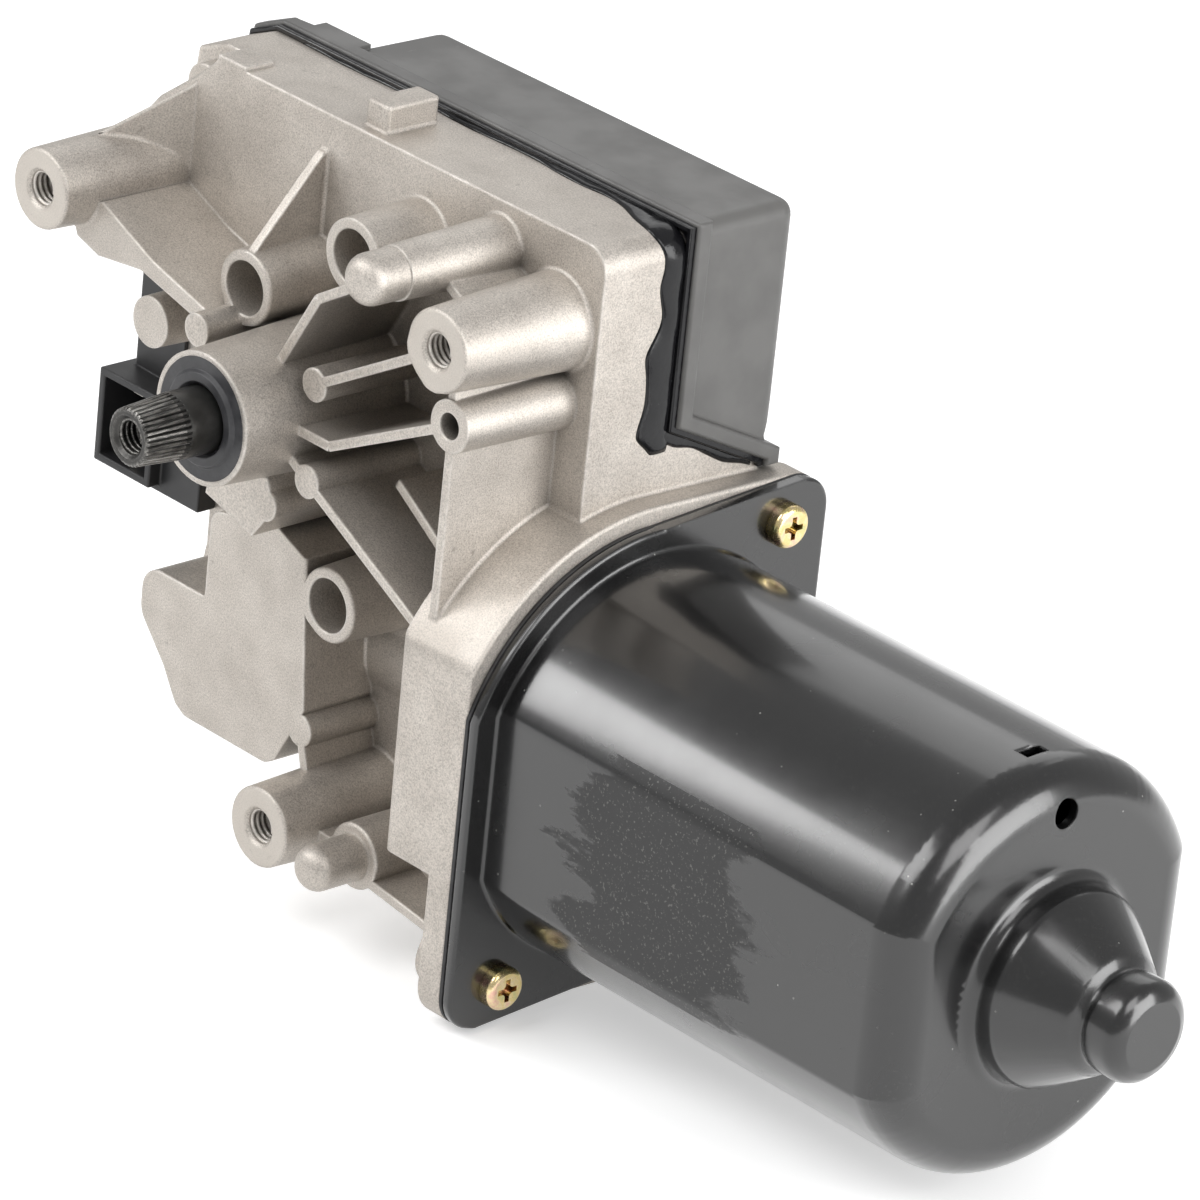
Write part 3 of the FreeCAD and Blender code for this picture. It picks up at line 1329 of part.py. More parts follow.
thread_half = (thread_pitch / 2 - d.tooth_backlash / 2) / 2
flank_slope = math.tan(math.radians(d.pressure_angle.number))
thread_sketch = armature_body.newObject("Sketcher::SketchObject", "thread_section")
thread_plane = next(f for f in armature_body.Origin.OriginFeatures if f.Role == "XY_Plane")
thread_sketch.AttachmentSupport = (thread_plane, [""])
thread_sketch.MapMode = "FlatFace"
thread_foot = worm_root_radius - 0.2
draw(thread_sketch, [
    (thread_start - thread_half - (d.worm_pitch_radius - thread_foot) * flank_slope, thread_foot),
    (thread_start - thread_half + d.gear_module * flank_slope, worm_tip_radius),
    (thread_start + thread_half - d.gear_module * flank_slope, worm_tip_radius),
    (thread_start + thread_half + (d.worm_pitch_radius - thread_foot) * flank_slope, thread_foot),
])
thread = armature_body.newObject("PartDesign::AdditiveHelix", "worm_thread")
thread.Profile = thread_sketch
thread.ReferenceAxis = (thread_sketch, ["H_Axis"])
thread.Mode = "pitch-turns-angle"
thread.setExpression("Pitch", thread_pitch.text)
thread.setExpression("Turns", d.worm_turns.text)
thread.LeftHanded = False
thread.Reversed = False
armature_body.Tip = thread
armature_body.Label = "armature_shaft"

# Bearings of the armature: a ball bearing beside the worm, a bush at each end, and end stops.
ring_split_radius = 7.5
ring_split_gap = 0.1
clip_thickness = 1.2
clip_radius = 17
bush_clearance = 0.05
retainer_thickness = 1.2


def sleeve(name, outer, inner, start, length):
    return cut(name, rod(name + "_blank", outer, start, length, y=motor_y, z=motor_z, along="x"),
               [rod(name + "_bore", inner, sized(start) - 1, sized(length) + 2,
                    y=motor_y, z=motor_z, along="x")])


worm_end_bush = sleeve("worm_end_bush", d.end_bush_radius, d.end_journal_radius + d.bush_clearance,
                       -d.end_bush_start, d.end_bush_length)
thrust_button = rod("thrust_button", d.end_journal_radius - 0.1, -d.end_bush_start,
                    d.button_length, y=motor_y, z=motor_z, along="x")
bearing_outer_ring = sleeve("bearing_outer_ring", d.ball_bearing_radius,
                            d.ring_split_radius + d.ring_split_gap, d.ball_bearing_x,
                            d.ball_bearing_width)
bearing_inner_ring = sleeve("bearing_inner_ring", d.ring_split_radius, d.shaft_radius,
                            d.ball_bearing_x, d.ball_bearing_width)
bearing_clip = sleeve("bearing_clip", d.clip_radius, d.ring_split_radius + 1.8,
                      d.brush_room_start_x, d.clip_thickness)
rear_bush = sleeve("rear_bush", d.bearing_radius, d.rear_journal_radius + d.bush_clearance,
                   d.bearing_start_x, d.bearing_length)
bush_retainer = sleeve("bush_retainer", d.dome_radius - d.dome_wall, d.bearing_radius,
                       d.dome_x + 0.5 - 1 - d.retainer_thickness, d.retainer_thickness)
thrust_pad = rod("thrust_pad", d.pad_seat_radius, d.pad_seat_end_x - d.pad_thickness,
                 d.pad_thickness, y=motor_y, z=motor_z, along="x")

# Armature: slotted iron stack, copper windings with their end turns, and the commutator.
stack_start_x = 88
stack_length = 50
stack_radius = 31.5
slot_count = 12
slot_radius = 4.6
slot_centre = 23.5
slot_mouth = 2.4
slot_liner = 0.25
end_turn_outer = 27.5
end_turn_inner = 8
end_turn_length = 9
commutator_start_x = 61
commutator_radius = 12
commutator_slot = 0.5
commutator_slot_depth = 1.2
commutator_slots = 24
riser_radius = 13.6
riser_length = 2.4


def around_x(shape, count):
    copies = []
    for i in range(count):
        one = shape.copy()
        one.rotate(FreeCAD.Vector(0, float(motor_y), float(motor_z)), FreeCAD.Vector(1, 0, 0),
                   360.0 * i / count)
        copies.append(one)
    return Part.makeCompound(copies)


def cylinder_x(radius, start, length, y, z):
    return Part.makeCylinder(float(radius), float(length),
                             FreeCAD.Vector(float(start), float(y), float(z)),
                             FreeCAD.Vector(1, 0, 0))


stack_blank = sleeve("stack_blank", d.stack_radius, d.shaft_radius, d.stack_start_x, d.stack_length)
slot_hole = cylinder_x(d.slot_radius, d.stack_start_x - 1, d.stack_length + 2, motor_y,
                       motor_z + d.slot_centre)
slot_mouth_box = Part.makeBox(
    float(d.stack_length) + 2, float(d.slot_mouth), float(d.stack_radius - d.slot_centre) + 1,
    FreeCAD.Vector(float(d.stack_start_x) - 1, float(motor_y - d.slot_mouth / 2),
                   float(motor_z + d.slot_centre)))
stack_slots = doc.addObject("Part::Feature", "stack_slots")
stack_slots.Shape = around_x(slot_hole.fuse(slot_mouth_box), int(d.slot_count.number))
lamination_stack = cut("lamination_stack", stack_blank, [stack_slots])
commutator_end = d.stack_start_x - d.end_turn_length
windings_front = sleeve("windings_front", d.end_turn_outer, d.end_turn_inner, commutator_end,
                        d.end_turn_length)
windings_rear = sleeve("windings_rear", d.end_turn_outer, d.end_turn_inner,
                       d.stack_start_x + d.stack_length, d.end_turn_length)
slot_coils = doc.addObject("Part::Feature", "slot_coils")
slot_coils.Shape = around_x(
    cylinder_x(d.slot_radius - d.slot_liner, d.stack_start_x - 1, d.stack_length + 2, motor_y,
               motor_z + d.slot_centre), int(d.slot_count.number))
armature_windings = fuse("armature_windings", [windings_front, windings_rear, slot_coils])
commutator_blank = turned("commutator_blank", [
    (d.commutator_start_x, d.shaft_radius),
    (d.commutator_start_x, d.commutator_radius - 2.5),
    (d.commutator_start_x + 0.8, d.commutator_radius - 2.5),
    (d.commutator_start_x + 0.8, d.commutator_radius),
    (commutator_end - d.riser_length, d.commutator_radius),
    (commutator_end - d.riser_length, d.riser_radius),
    (commutator_end, d.riser_radius),
    (commutator_end, d.shaft_radius),
], y=motor_y, z=motor_z)
commutator_cuts = doc.addObject("Part::Feature", "commutator_cuts")
commutator_cuts.Shape = around_x(Part.makeBox(
    float(commutator_end - d.commutator_start_x) + 2, float(d.commutator_slot), 6,
    FreeCAD.Vector(float(d.commutator_start_x) - 1, float(motor_y - d.commutator_slot / 2),
                   float(motor_z + d.commutator_radius - d.commutator_slot_depth))),
    int(d.commutator_slots.number))
commutator = cut("commutator", commutator_blank, [commutator_cuts])

# Brush gear: a plate in the drum with three boxed holders, each with a brush and its spring.
plate_x = 57
plate_thickness = 3
plate_clearance = 0.2
plate_opening = 15
brush_length = 14
brush_width = 6
brush_depth = 9
brush_gap = 0.05
brush_slide_gap = 0.1
holder_width = 9
holder_depth = 13
holder_start = 14
holder_end = 34.5
holder_cap = 1.4
spring_radius = 2.4
spring_wire = 0.45
spring_turns = 5
brush_plate_disc = sleeve("brush_plate_disc", d.brush_room_radius - d.plate_clearance,
                          d.plate_opening, d.plate_x, d.plate_thickness)
lead_tab = block("lead_tab", (d.plate_x, d.lead_y - 1, motor_z + 20),
                 (d.plate_x + d.plate_thickness, d.lead_y + 12, motor_z + d.brush_room_radius + 1.5))
brush_plate = fuse("brush_plate", [brush_plate_disc, lead_tab])
brush_middle_x = d.plate_x + d.plate_thickness + d.holder_depth / 2


def radial_block(name, side, near, far, width, depth):
    """A block that lies along one radius of the commutator, centred on the brush track."""
    letter, sign = side
    x_low = brush_middle_x - sized(depth) / 2
    x_high = brush_middle_x + sized(depth) / 2
    a, b = sized(near) * sign, sized(far) * sign
    if float(a) > float(b):
        a, b = b, a
    if letter == "z":
        return block(name, (x_low, motor_y - sized(width) / 2, motor_z + a),
                     (x_high, motor_y + sized(width) / 2, motor_z + b))
    return block(name, (x_low, motor_y + a, motor_z - sized(width) / 2),
                 (x_high, motor_y + b, motor_z + sized(width) / 2))


brush_outer = d.commutator_radius + d.brush_gap + d.brush_length
spring_room_end = d.holder_end - d.holder_cap
brush_gear = {}
for name, side in (("common", ("z", 1)), ("low", ("z", -1)), ("high", ("y", 1))):
    holder = cut("brush_holder_" + name,
                 radial_block("holder_box_" + name, side, d.holder_start, d.holder_end,
                              d.holder_width, d.holder_depth),
                 [radial_block("holder_way_" + name, side, d.holder_start - 1, spring_room_end,
                               d.brush_width + d.brush_slide_gap * 2,
                               d.brush_depth + d.brush_slide_gap * 2)])
    brush = cut("brush_" + name,
                radial_block("brush_block_" + name, side, d.commutator_radius - 1, brush_outer,
                             d.brush_width, d.brush_depth),
                [rod("brush_face_" + name, d.commutator_radius + d.brush_gap,
                     d.commutator_start_x - 5, 40, y=motor_y, z=motor_z, along="x")])
    helix = doc.addObject("Part::Helix", "spring_line_" + name)
    helix.setExpression("Radius", d.spring_radius.text)
    spring_height = spring_room_end - brush_outer - d.spring_wire * 2
    helix.setExpression("Height", spring_height.text)
    helix.setExpression("Pitch", (spring_height / d.spring_turns).text)
    letter, sign = side
    wire_start = brush_outer + d.spring_wire
    turn = {("z", 1): FreeCAD.Rotation(), ("z", -1): FreeCAD.Rotation(FreeCAD.Vector(1, 0, 0), 180),
            ("y", 1): FreeCAD.Rotation(FreeCAD.Vector(1, 0, 0), -90)}[side]
    dy, dz = (0, wire_start * sign) if letter == "z" else (wire_start * sign, 0)
    place(helix, brush_middle_x, motor_y + dy, motor_z + dz, turn)
    wire = doc.addObject("Part::Circle", "spring_wire_" + name)
    wire.setExpression("Radius", d.spring_wire.text)
    facing = turn.multiply(FreeCAD.Rotation(FreeCAD.Vector(1, 0, 0), 90))
    place(wire, brush_middle_x + d.spring_radius, motor_y + dy, motor_z + dz, facing)
    spring = doc.addObject("Part::Sweep", "brush_spring_" + name)
    spring.Sections = [wire]
    spring.Spine = (helix, ["Edge1"])
    spring.Solid = True
    spring.Frenet = True
    brush_gear[name] = (holder, brush, spring)

# Leads from the brush plate up into the cover, one above the other.
lead_strip = 3
lead_pitch = 5
lead_rise = 12
lead_step = 3
board_front_gap = 0
leads = []
for i in range(3):
    y = d.lead_y + d.lead_pitch * i
    top = d.lead_rise - d.lead_step * i
    leads.append(fuse("lead_%d" % i, [
        block("lead_up_%d" % i, (d.plate_x, y, motor_z + d.brush_room_radius + 1.5),
              (d.plate_x + d.lead_strip, y + d.lead_thickness, top + d.lead_thickness)),
        block("lead_over_%d" % i, (d.plate_x, y, top),
              (d.plate_x + d.lead_strip, d.board_y, top + d.lead_thickness)),
    ]))
motor_leads = doc.addObject("Part::Compound", "motor_leads")
motor_leads.Links = leads

# Circuit board under the cover, with its relay, capacitors, chokes and park contact fingers.
board_left = 33
board_right = 61
board_low = 4
board_top = 46
board_notch = 11
relay_front_y = 54
relay_x = 30
relay_z = 13
relay_length = 19
relay_height = 15
capacitor_radius = 5
capacitor_height = 12
choke_radius = 3.5
choke_length = 15
carrier_width = 20
carrier_front_y = 61
carrier_low = 17
carrier_top = 37
finger_width = 3
finger_thickness = 0.4
finger_gap = 0.1
circuit_board = cut("circuit_board",
                    block("board_blank", (-d.board_left, d.board_y, d.board_low),
                          (d.board_right, d.board_y + d.board_thickness, d.board_top)),
                    [block("board_notch", (d.board_right - d.board_notch, 0,
                                           d.board_top - d.board_notch),
                           (d.board_right + 1, d.back_reach, d.board_top + 1))])
park_relay = block("park_relay", (d.relay_x, d.relay_front_y, d.relay_z),
                   (d.relay_x + d.relay_length, d.board_y, d.relay_z + d.relay_height))
filter_capacitors = doc.addObject("Part::Compound", "filter_capacitors")
filter_capacitors.Links = [
    rod("capacitor_1", d.capacitor_radius, d.board_y - d.capacitor_height, d.capacitor_height,
        x=-24, z=34),
    rod("capacitor_2", d.capacitor_radius, d.board_y - d.capacitor_height, d.capacitor_height,
        x=-24, z=20),
]
suppression_chokes = doc.addObject("Part::Compound", "suppression_chokes")
suppression_chokes.Links = [
    rod("choke_1", d.choke_radius, 14, d.choke_length, y=d.board_y - d.choke_radius, z=36,
        along="x"),
    rod("choke_2", d.choke_radius, 32, d.choke_length, y=d.board_y - d.choke_radius, z=36,
        along="x"),
]
contact_carrier = block("contact_carrier",
                        (-d.carrier_width / 2, d.carrier_front_y, d.carrier_low),
                        (d.carrier_width / 2, d.board_y, d.carrier_top))
fingers = []
touch_y = web_back_y + d.park_ring_thickness + d.finger_gap
for i, (x, z) in enumerate(((-7, 30), (0, 22.5), (7, 30))):
    fingers.append(prism("finger_%d" % i, "yz", [
        (d.carrier_front_y, sized(z) + 4),
        (d.carrier_front_y, sized(z) + 4 + d.finger_thickness * 1.6),
        (touch_y + 1.5, sized(z) + 0.4 + d.finger_thickness),
        (touch_y, sized(z) - 1),
        (touch_y + 1, sized(z) - 2),
        (touch_y + 1.2, sized(z) - 1.7),
        (touch_y + 0.5, sized(z) - 1),
        (touch_y + 1.8, sized(z) + 0.2),
    ], sized(x) - d.finger_width / 2, sized(x) + d.finger_width / 2))
park_fingers = doc.addObject("Part::Compound", "park_fingers")
park_fingers.Links = fingers

# Every separate piece by its own name, checked and written out.
pieces = {
    "gear_housing": gear_housing,
    "electronics_cover": electronics_cover,
    "cover_seal": cover_seal,
    "cover_screws": cover_screws,
    "connector_housing": connector_housing,
    "connector_terminals": connector_terminals,
    "circuit_board": circuit_board,
    "park_relay": park_relay,
    "filter_capacitors": filter_capacitors,
    "suppression_chokes": suppression_chokes,
    "contact_carrier": contact_carrier,
    "park_fingers": park_fingers,
    "motor_leads": motor_leads,
    "shaft_seal": shaft_seal,
    "shaft_bush_front": shaft_bush_front,
    "shaft_bush_rear": shaft_bush_rear,
    "output_shaft": output_shaft,
    "retaining_ring": retaining_ring,
    "thrust_washer": thrust_washer,
    "wheel_hub": wheel_hub,
    "worm_wheel": worm_wheel,
    "park_ring": park_ring,
    "armature_shaft": armature_body,
    "lamination_stack": lamination_stack,
    "armature_windings": armature_windings,
    "commutator": commutator,
    "bearing_inner_ring": bearing_inner_ring,
    "bearing_outer_ring": bearing_outer_ring,
    "bearing_clip": bearing_clip,
    "worm_end_bush": worm_end_bush,
    "thrust_button": thrust_button,
    "rear_bush": rear_bush,
    "bush_retainer": bush_retainer,
    "thrust_pad": thrust_pad,
    "motor_can": motor_can,
    "can_gasket": can_gasket,
    "can_screws": can_screws,
    "magnet_upper": magnet_upper,
    "magnet_lower": magnet_lower,
    "brush_plate": brush_plate,
}
for name, (holder, brush, spring) in brush_gear.items():
    pieces["brush_holder_" + name] = holder
    pieces["brush_" + name] = brush
    pieces["brush_spring_" + name] = spring

doc.recompute()
for thing in doc.Objects:
    if "Invalid" in thing.State or "Error" in thing.State:
        raise SystemExit("%s did not compute" % thing.Name)
os.makedirs("parts", exist_ok=True)
for name, thing in pieces.items():
    thing.Label = name
    if thing.Shape.isNull() or not thing.Shape.isValid() or not thing.Shape.Solids:
        raise SystemExit("%s is not a sound solid" % name)
    thing.Shape.exportStep("parts/" + name + ".step")
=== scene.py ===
import json
import math

import bmesh
import bpy
from mathutils import Matrix, Vector

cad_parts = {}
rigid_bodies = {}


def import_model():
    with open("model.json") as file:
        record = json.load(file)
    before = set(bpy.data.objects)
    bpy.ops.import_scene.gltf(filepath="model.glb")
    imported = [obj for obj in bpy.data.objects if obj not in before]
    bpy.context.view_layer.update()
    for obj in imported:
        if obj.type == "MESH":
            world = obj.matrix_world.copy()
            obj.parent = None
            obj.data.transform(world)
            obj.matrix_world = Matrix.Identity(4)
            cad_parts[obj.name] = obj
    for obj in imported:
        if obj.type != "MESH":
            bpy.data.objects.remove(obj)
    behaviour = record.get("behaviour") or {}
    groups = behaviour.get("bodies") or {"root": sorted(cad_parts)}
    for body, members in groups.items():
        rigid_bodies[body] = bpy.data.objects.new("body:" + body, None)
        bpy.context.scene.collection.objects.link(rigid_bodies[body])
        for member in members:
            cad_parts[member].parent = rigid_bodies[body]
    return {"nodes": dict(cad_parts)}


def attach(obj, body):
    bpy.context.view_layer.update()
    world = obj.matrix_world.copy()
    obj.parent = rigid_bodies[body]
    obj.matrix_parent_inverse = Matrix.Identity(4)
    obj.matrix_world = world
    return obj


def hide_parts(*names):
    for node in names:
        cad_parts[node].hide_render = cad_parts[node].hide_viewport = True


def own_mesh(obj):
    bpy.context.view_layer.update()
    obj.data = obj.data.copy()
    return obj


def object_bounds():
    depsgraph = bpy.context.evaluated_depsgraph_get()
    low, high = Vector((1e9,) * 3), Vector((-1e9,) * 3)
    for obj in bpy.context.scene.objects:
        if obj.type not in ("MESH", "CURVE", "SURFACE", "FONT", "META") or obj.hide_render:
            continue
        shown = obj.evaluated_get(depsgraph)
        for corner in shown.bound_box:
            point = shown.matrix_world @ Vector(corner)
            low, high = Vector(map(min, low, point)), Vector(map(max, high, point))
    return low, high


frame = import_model()
nodes = frame["nodes"]
cad_low, cad_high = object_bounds()

MM = 0.001


# The gear housing is one die casting in aluminium alloy, sand-blasted to a warm pale grey. The
# tool leaves its edges rounded, handling brightens them, and painted shade darkens its pockets.
# The faces of the three mounting bosses are cut flat after casting and are brighter.
class NodeTree:
    """Short ways to add nodes to a tree and to join them."""

    def __init__(self, tree):
        self.tree = tree

    def add(self, kind, settings=None, **inputs):
        made = self.tree.nodes.new(kind)
        for name, value in (settings or {}).items():
            setattr(made, name, value)
        for name, value in inputs.items():
            self.feed(made.inputs[name.replace("_", " ")], value)
        return made

    def feed(self, socket, value):
        """Joins a socket to another, or sets it. A single number on a colour makes a grey."""
        if isinstance(value, bpy.types.NodeSocket):
            self.tree.links.new(value, socket)
        elif socket.type == "RGBA":
            socket.default_value = (*value, 1) if isinstance(value, tuple) else (*[value] * 3, 1)
        else:
            socket.default_value = value

    def sums(self, how, first, second):
        made = self.add("ShaderNodeMath", {"operation": how})
        self.feed(made.inputs[0], first)
        self.feed(made.inputs[1], second)
        return made.outputs[0]


class Finish(NodeTree):
    """A node material under its own name, placed by the object's own coordinates."""

    def __init__(self, name):
        self.material = bpy.data.materials.new(name)
        self.material.use_nodes = True
        super().__init__(self.material.node_tree)
        self.shader = self.tree.nodes["Principled BSDF"]
        self.place = self.add("ShaderNodeTexCoord").outputs["Object"]

    def set(self, **inputs):
        for name, value in inputs.items():
            self.feed(self.shader.inputs[name.replace("_", " ")], value)
        return self.material

    def along(self, axis):
        """The place along an axis, 0 to 2."""
        return self.add("ShaderNodeSeparateXYZ", Vector=self.place).outputs[axis]

    def stretched(self, amount):
        """The object's own coordinates, stretched by an amount along each axis."""
        made = self.add("ShaderNodeVectorMath", {"operation": "MULTIPLY"})
        self.feed(made.inputs[0], self.place)
        self.feed(made.inputs[1], amount)
        return made.outputs[0]

    def noise(self, size, detail=4.0, rough=0.55, stretch=(1.0, 1.0, 1.0)):
        """Soft noise whose lumps are about the given size, in metres."""
        made = self.add("ShaderNodeTexNoise", Vector=self.stretched(stretch),
                        Scale=1.0 / size, Detail=detail, Roughness=rough)
        return made.outputs["Fac"]

    def ramp(self, value, *stops):
        """Maps a value through (place, grey or colour) stops."""
        made = self.add("ShaderNodeValToRGB", Fac=value)
        steps = made.color_ramp.elements
        while len(steps) < len(stops):
            steps.new(0.5)
        for step, (at, shade) in zip(steps, stops):
            step.position = at
            step.color = (shade, shade, shade, 1) if isinstance(shade, float) else (*shade, 1)
        return made.outputs["Color"]

    def blend(self, amount, first, second, how="MIX"):
        made = self.add("ShaderNodeMix", {"data_type": "RGBA", "blend_type": how})
        self.feed(made.inputs["Factor"], amount)
        self.feed(made.inputs[6], first)
        self.feed(made.inputs[7], second)
        return made.outputs[2]

    def bump(self, height, depth, strength=1.0, under=None):
        """Relief of the given depth, in metres."""
        made = self.add("ShaderNodeBump", Height=height, Distance=depth, Strength=strength)
        if under is not None:
            self.feed(made.inputs["Normal"], under)
        return made.outputs["Normal"]

    def corners(self, reach, inner, deepest=0.25, open_from=0.8):
        """1 deep in the hollow corners, or on the outer edges, and 0 on open faces."""
        seen = self.add("ShaderNodeAmbientOcclusion", {"samples": 6, "inside": not inner,
                                                       "only_local": not inner}, Distance=reach)
        return self.ramp(seen.outputs["AO"], (deepest, 1.0), (open_from, 0.0))

    def rounded(self, radius):
        """A surface direction that turns softly over every edge and hollow corner."""
        made = self.add("ShaderNodeBevel", {"samples": 4}, Radius=radius)
        return made.outputs["Normal"]

    def band(self, axis, low, high):
        """1 where the place along an axis, 0 to 2, lies between two values, and 0 elsewhere."""
        at = self.along(axis)
        above = self.sums("GREATER_THAN", at, low)
        below = self.sums("LESS_THAN", at, high)
        return self.sums("MULTIPLY", above, below)


def linked(name, data):
    """A new object in the scene that holds the data."""
    made = bpy.data.objects.new(name, data)
    bpy.context.scene.collection.objects.link(made)
    return made


def merged_copy(node, name):
    """A mesh object with the node's shape, its triangles joined up into whole flat faces."""
    mesh = bmesh.new()
    mesh.from_mesh(nodes[node].data)
    bmesh.ops.remove_doubles(mesh, verts=mesh.verts, dist=0.002 * MM)
    bmesh.ops.dissolve_limit(mesh, angle_limit=math.radians(0.5), verts=mesh.verts,
                             edges=mesh.edges)
    data = bpy.data.meshes.new(name)
    mesh.to_mesh(data)
    mesh.free()
    return linked(name, data)


def apply_modifiers(piece):
    """Turns what the modifiers make into the piece's own plain mesh."""
    bpy.context.view_layer.update()
    evaluated = piece.evaluated_get(bpy.context.evaluated_depsgraph_get())
    piece.data = bpy.data.meshes.new_from_object(evaluated)
    piece.modifiers.clear()


LEAST_AREA = 4 * MM * MM
OUT_OF_FLAT = 0.04 * MM
FOLDED_SHARE = 1.004


def spoilt_places(mesh):
    """The corners where a face of some size is no longer flat, or folds over itself."""
    mesh.faces.ensure_lookup_table()
    mesh.faces.index_update()
    filled = [0.0] * len(mesh.faces)
    for a, b, c in mesh.calc_loop_triangles():
        cross = (b.vert.co - a.vert.co).cross(c.vert.co - a.vert.co)
        filled[a.face.index] += cross.length / 2
    found = []
    for face in mesh.faces:
        area = face.calc_area()
        if len(face.verts) > 3 and area > LEAST_AREA:
            heights = sorted((vert.co.dot(face.normal), vert.index) for vert in face.verts)
            middle = heights[len(heights) // 2][0]
            folded = filled[face.index] > FOLDED_SHARE * area
            found += [vert.co.copy() for vert in face.verts
                      if folded or abs(vert.co.dot(face.normal) - middle) > OUT_OF_FLAT]
    return found


ATTEMPTS = 8
CREASE = math.radians(50)
ROOM_NEEDED = 1.5
CLEAR_OF_SPOILT = 2.5


def soften_edges(piece, width, angle, segments):
    """Rounds the edges sharper than the angle, in degrees, where their neighbours leave room
    and no flat face gets spoilt, and keeps the flat faces flat."""
    spoilt = []
    for attempt in range(1, ATTEMPTS + 1):
        mesh = bmesh.new()
        mesh.from_mesh(piece.data)
        bmesh.ops.remove_doubles(mesh, verts=mesh.verts, dist=0.03 * width)
        for face in mesh.faces:
            face.smooth = any(1 < math.degrees(edge.calc_face_angle(0)) < 25
                              for edge in face.edges if edge.calc_length() > 1 * MM)
        sharp = [edge for edge in mesh.edges
                 if edge.is_manifold and edge.calc_face_angle(0) > math.radians(angle)]
        room = {vert: min(link.calc_length() for link in vert.link_edges)
                for edge in sharp for vert in edge.verts}
        for vert in room:
            if any((vert.co - place).length < CLEAR_OF_SPOILT * width for place in spoilt):
                room[vert] = 0
        roomy = [edge for edge in sharp
                 if min(room[vert] for vert in edge.verts) > ROOM_NEEDED * width]
        strips = bmesh.ops.bevel(mesh, geom=roomy, offset=width, segments=segments, profile=0.5,
                                 affect="EDGES", clamp_overlap=False)["faces"]
        more = spoilt_places(mesh)
        if not more or attempt == ATTEMPTS:
            break
        spoilt += more
        mesh.free()
    for face in strips:
        face.smooth = True
    for edge in mesh.edges:
        edge.smooth = edge.is_manifold and edge.calc_face_angle(0) < CREASE
    mesh.to_mesh(piece.data)
    mesh.free()
    flat = piece.modifiers.new("flat_faces", "WEIGHTED_NORMAL")
    flat.keep_sharp = True
    apply_modifiers(piece)


def dress(node, name, body, material, width=0.2 * MM, angle=30, segments=2, shape=None):
    """Stands a softened copy with a finish in place of the node, on the node's body."""
    piece = merged_copy(node, name)
    if shape is not None:
        shape(piece)
    soften_edges(piece, width, angle, segments)
    piece.data.materials.clear()
    piece.data.materials.append(material)
    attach(piece, body)
    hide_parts(node)
    return piece


def cast_alloy(name):
    f = Finish(name)
    grain = f.noise(0.32 * MM, 3.0, 0.75)
    patches = f.noise(11 * MM, 5.0, 0.6)
    tone = f.ramp(patches, (0.3, (0.455, 0.418, 0.378)), (0.7, (0.56, 0.521, 0.476)))
    colour = f.blend(1.0, tone, f.ramp(grain, (0.34, 0.66), (0.5, 1.0), (0.68, 1.3)), "MULTIPLY")
    # Painted shade: the hollow pockets and the corners against other parts are darkened grey.
    colour = f.blend(f.corners(7 * MM, True, 0.08, 0.55), colour, (0.17, 0.158, 0.143))
    wear = f.ramp(f.noise(2.5 * MM, 3.0, 0.6), (0.35, 0.35), (0.6, 1.0))
    worn = f.sums("MULTIPLY", f.corners(0.8 * MM, False, 0.3, 0.85), wear)
    colour = f.blend(worn, colour, (0.8, 0.76, 0.71))
    cut_face = f.band(1, -0.06 * MM, 0.06 * MM)
    colour = f.blend(f.sums("MULTIPLY", cut_face, 0.6), colour, (0.56, 0.52, 0.47))
    soiling = f.ramp(f.noise(3.2 * MM, 6.0, 0.7), (0.64, 0.0), (0.72, 0.55))
    colour = f.blend(soiling, colour, (0.24, 0.22, 0.2))
    rough = f.blend(worn, f.ramp(grain, (0.3, 0.4), (0.7, 0.62)), 0.3)
    relief = f.bump(patches, 0.12 * MM, 0.35, f.rounded(0.9 * MM))
    relief = f.bump(grain, 0.04 * MM, 0.9, relief)
    return f.set(Base_Color=colour, Metallic=0.75, Roughness=rough, Normal=relief)


def rounded_by(piece, width, segments, chosen):
    """Rounds the long outer edges that the rule picks from their two ends, in millimetres."""
    mesh = bmesh.new()
    mesh.from_mesh(piece.data)
    edges = []
    for edge in mesh.edges:
        sharp = edge.is_convex and edge.calc_face_angle(0) > math.radians(35)
        if sharp and chosen(*[vert.co / MM for vert in edge.verts]):
            edges.append(edge)
    bmesh.ops.bevel(mesh, geom=edges, offset=width, segments=segments, profile=0.5,
                    affect="EDGES", clamp_overlap=False)
    mesh.to_mesh(piece.data)
    mesh.free()


NEAR = 0.2
BLOCK_TOP, BLOCK_RIGHT, BLOCK_FRONT = -29, 5, 11
SEAT_X = 50


def block_corner(a, b):
    """The deep corners of the low block, and the front edges of the can's seat."""
    along_y = abs(a.y - b.y) > 12 and abs(a.x - b.x) < NEAR and abs(a.z - b.z) < NEAR
    block = along_y and a.z < BLOCK_TOP and a.x < BLOCK_RIGHT and min(a.y, b.y) > BLOCK_FRONT
    along_z = abs(a.x - SEAT_X) < NEAR and abs(b.x - SEAT_X) < NEAR and abs(a.z - b.z) > 30
    return block or (along_z and a.y < 1)


dress("gear_housing", "die_cast_gear_housing", "motor_body", cast_alloy("cast_alloy"), 0.6 * MM,
      28, 3, shape=lambda piece: rounded_by(piece, 2.6 * MM, 5, block_corner))


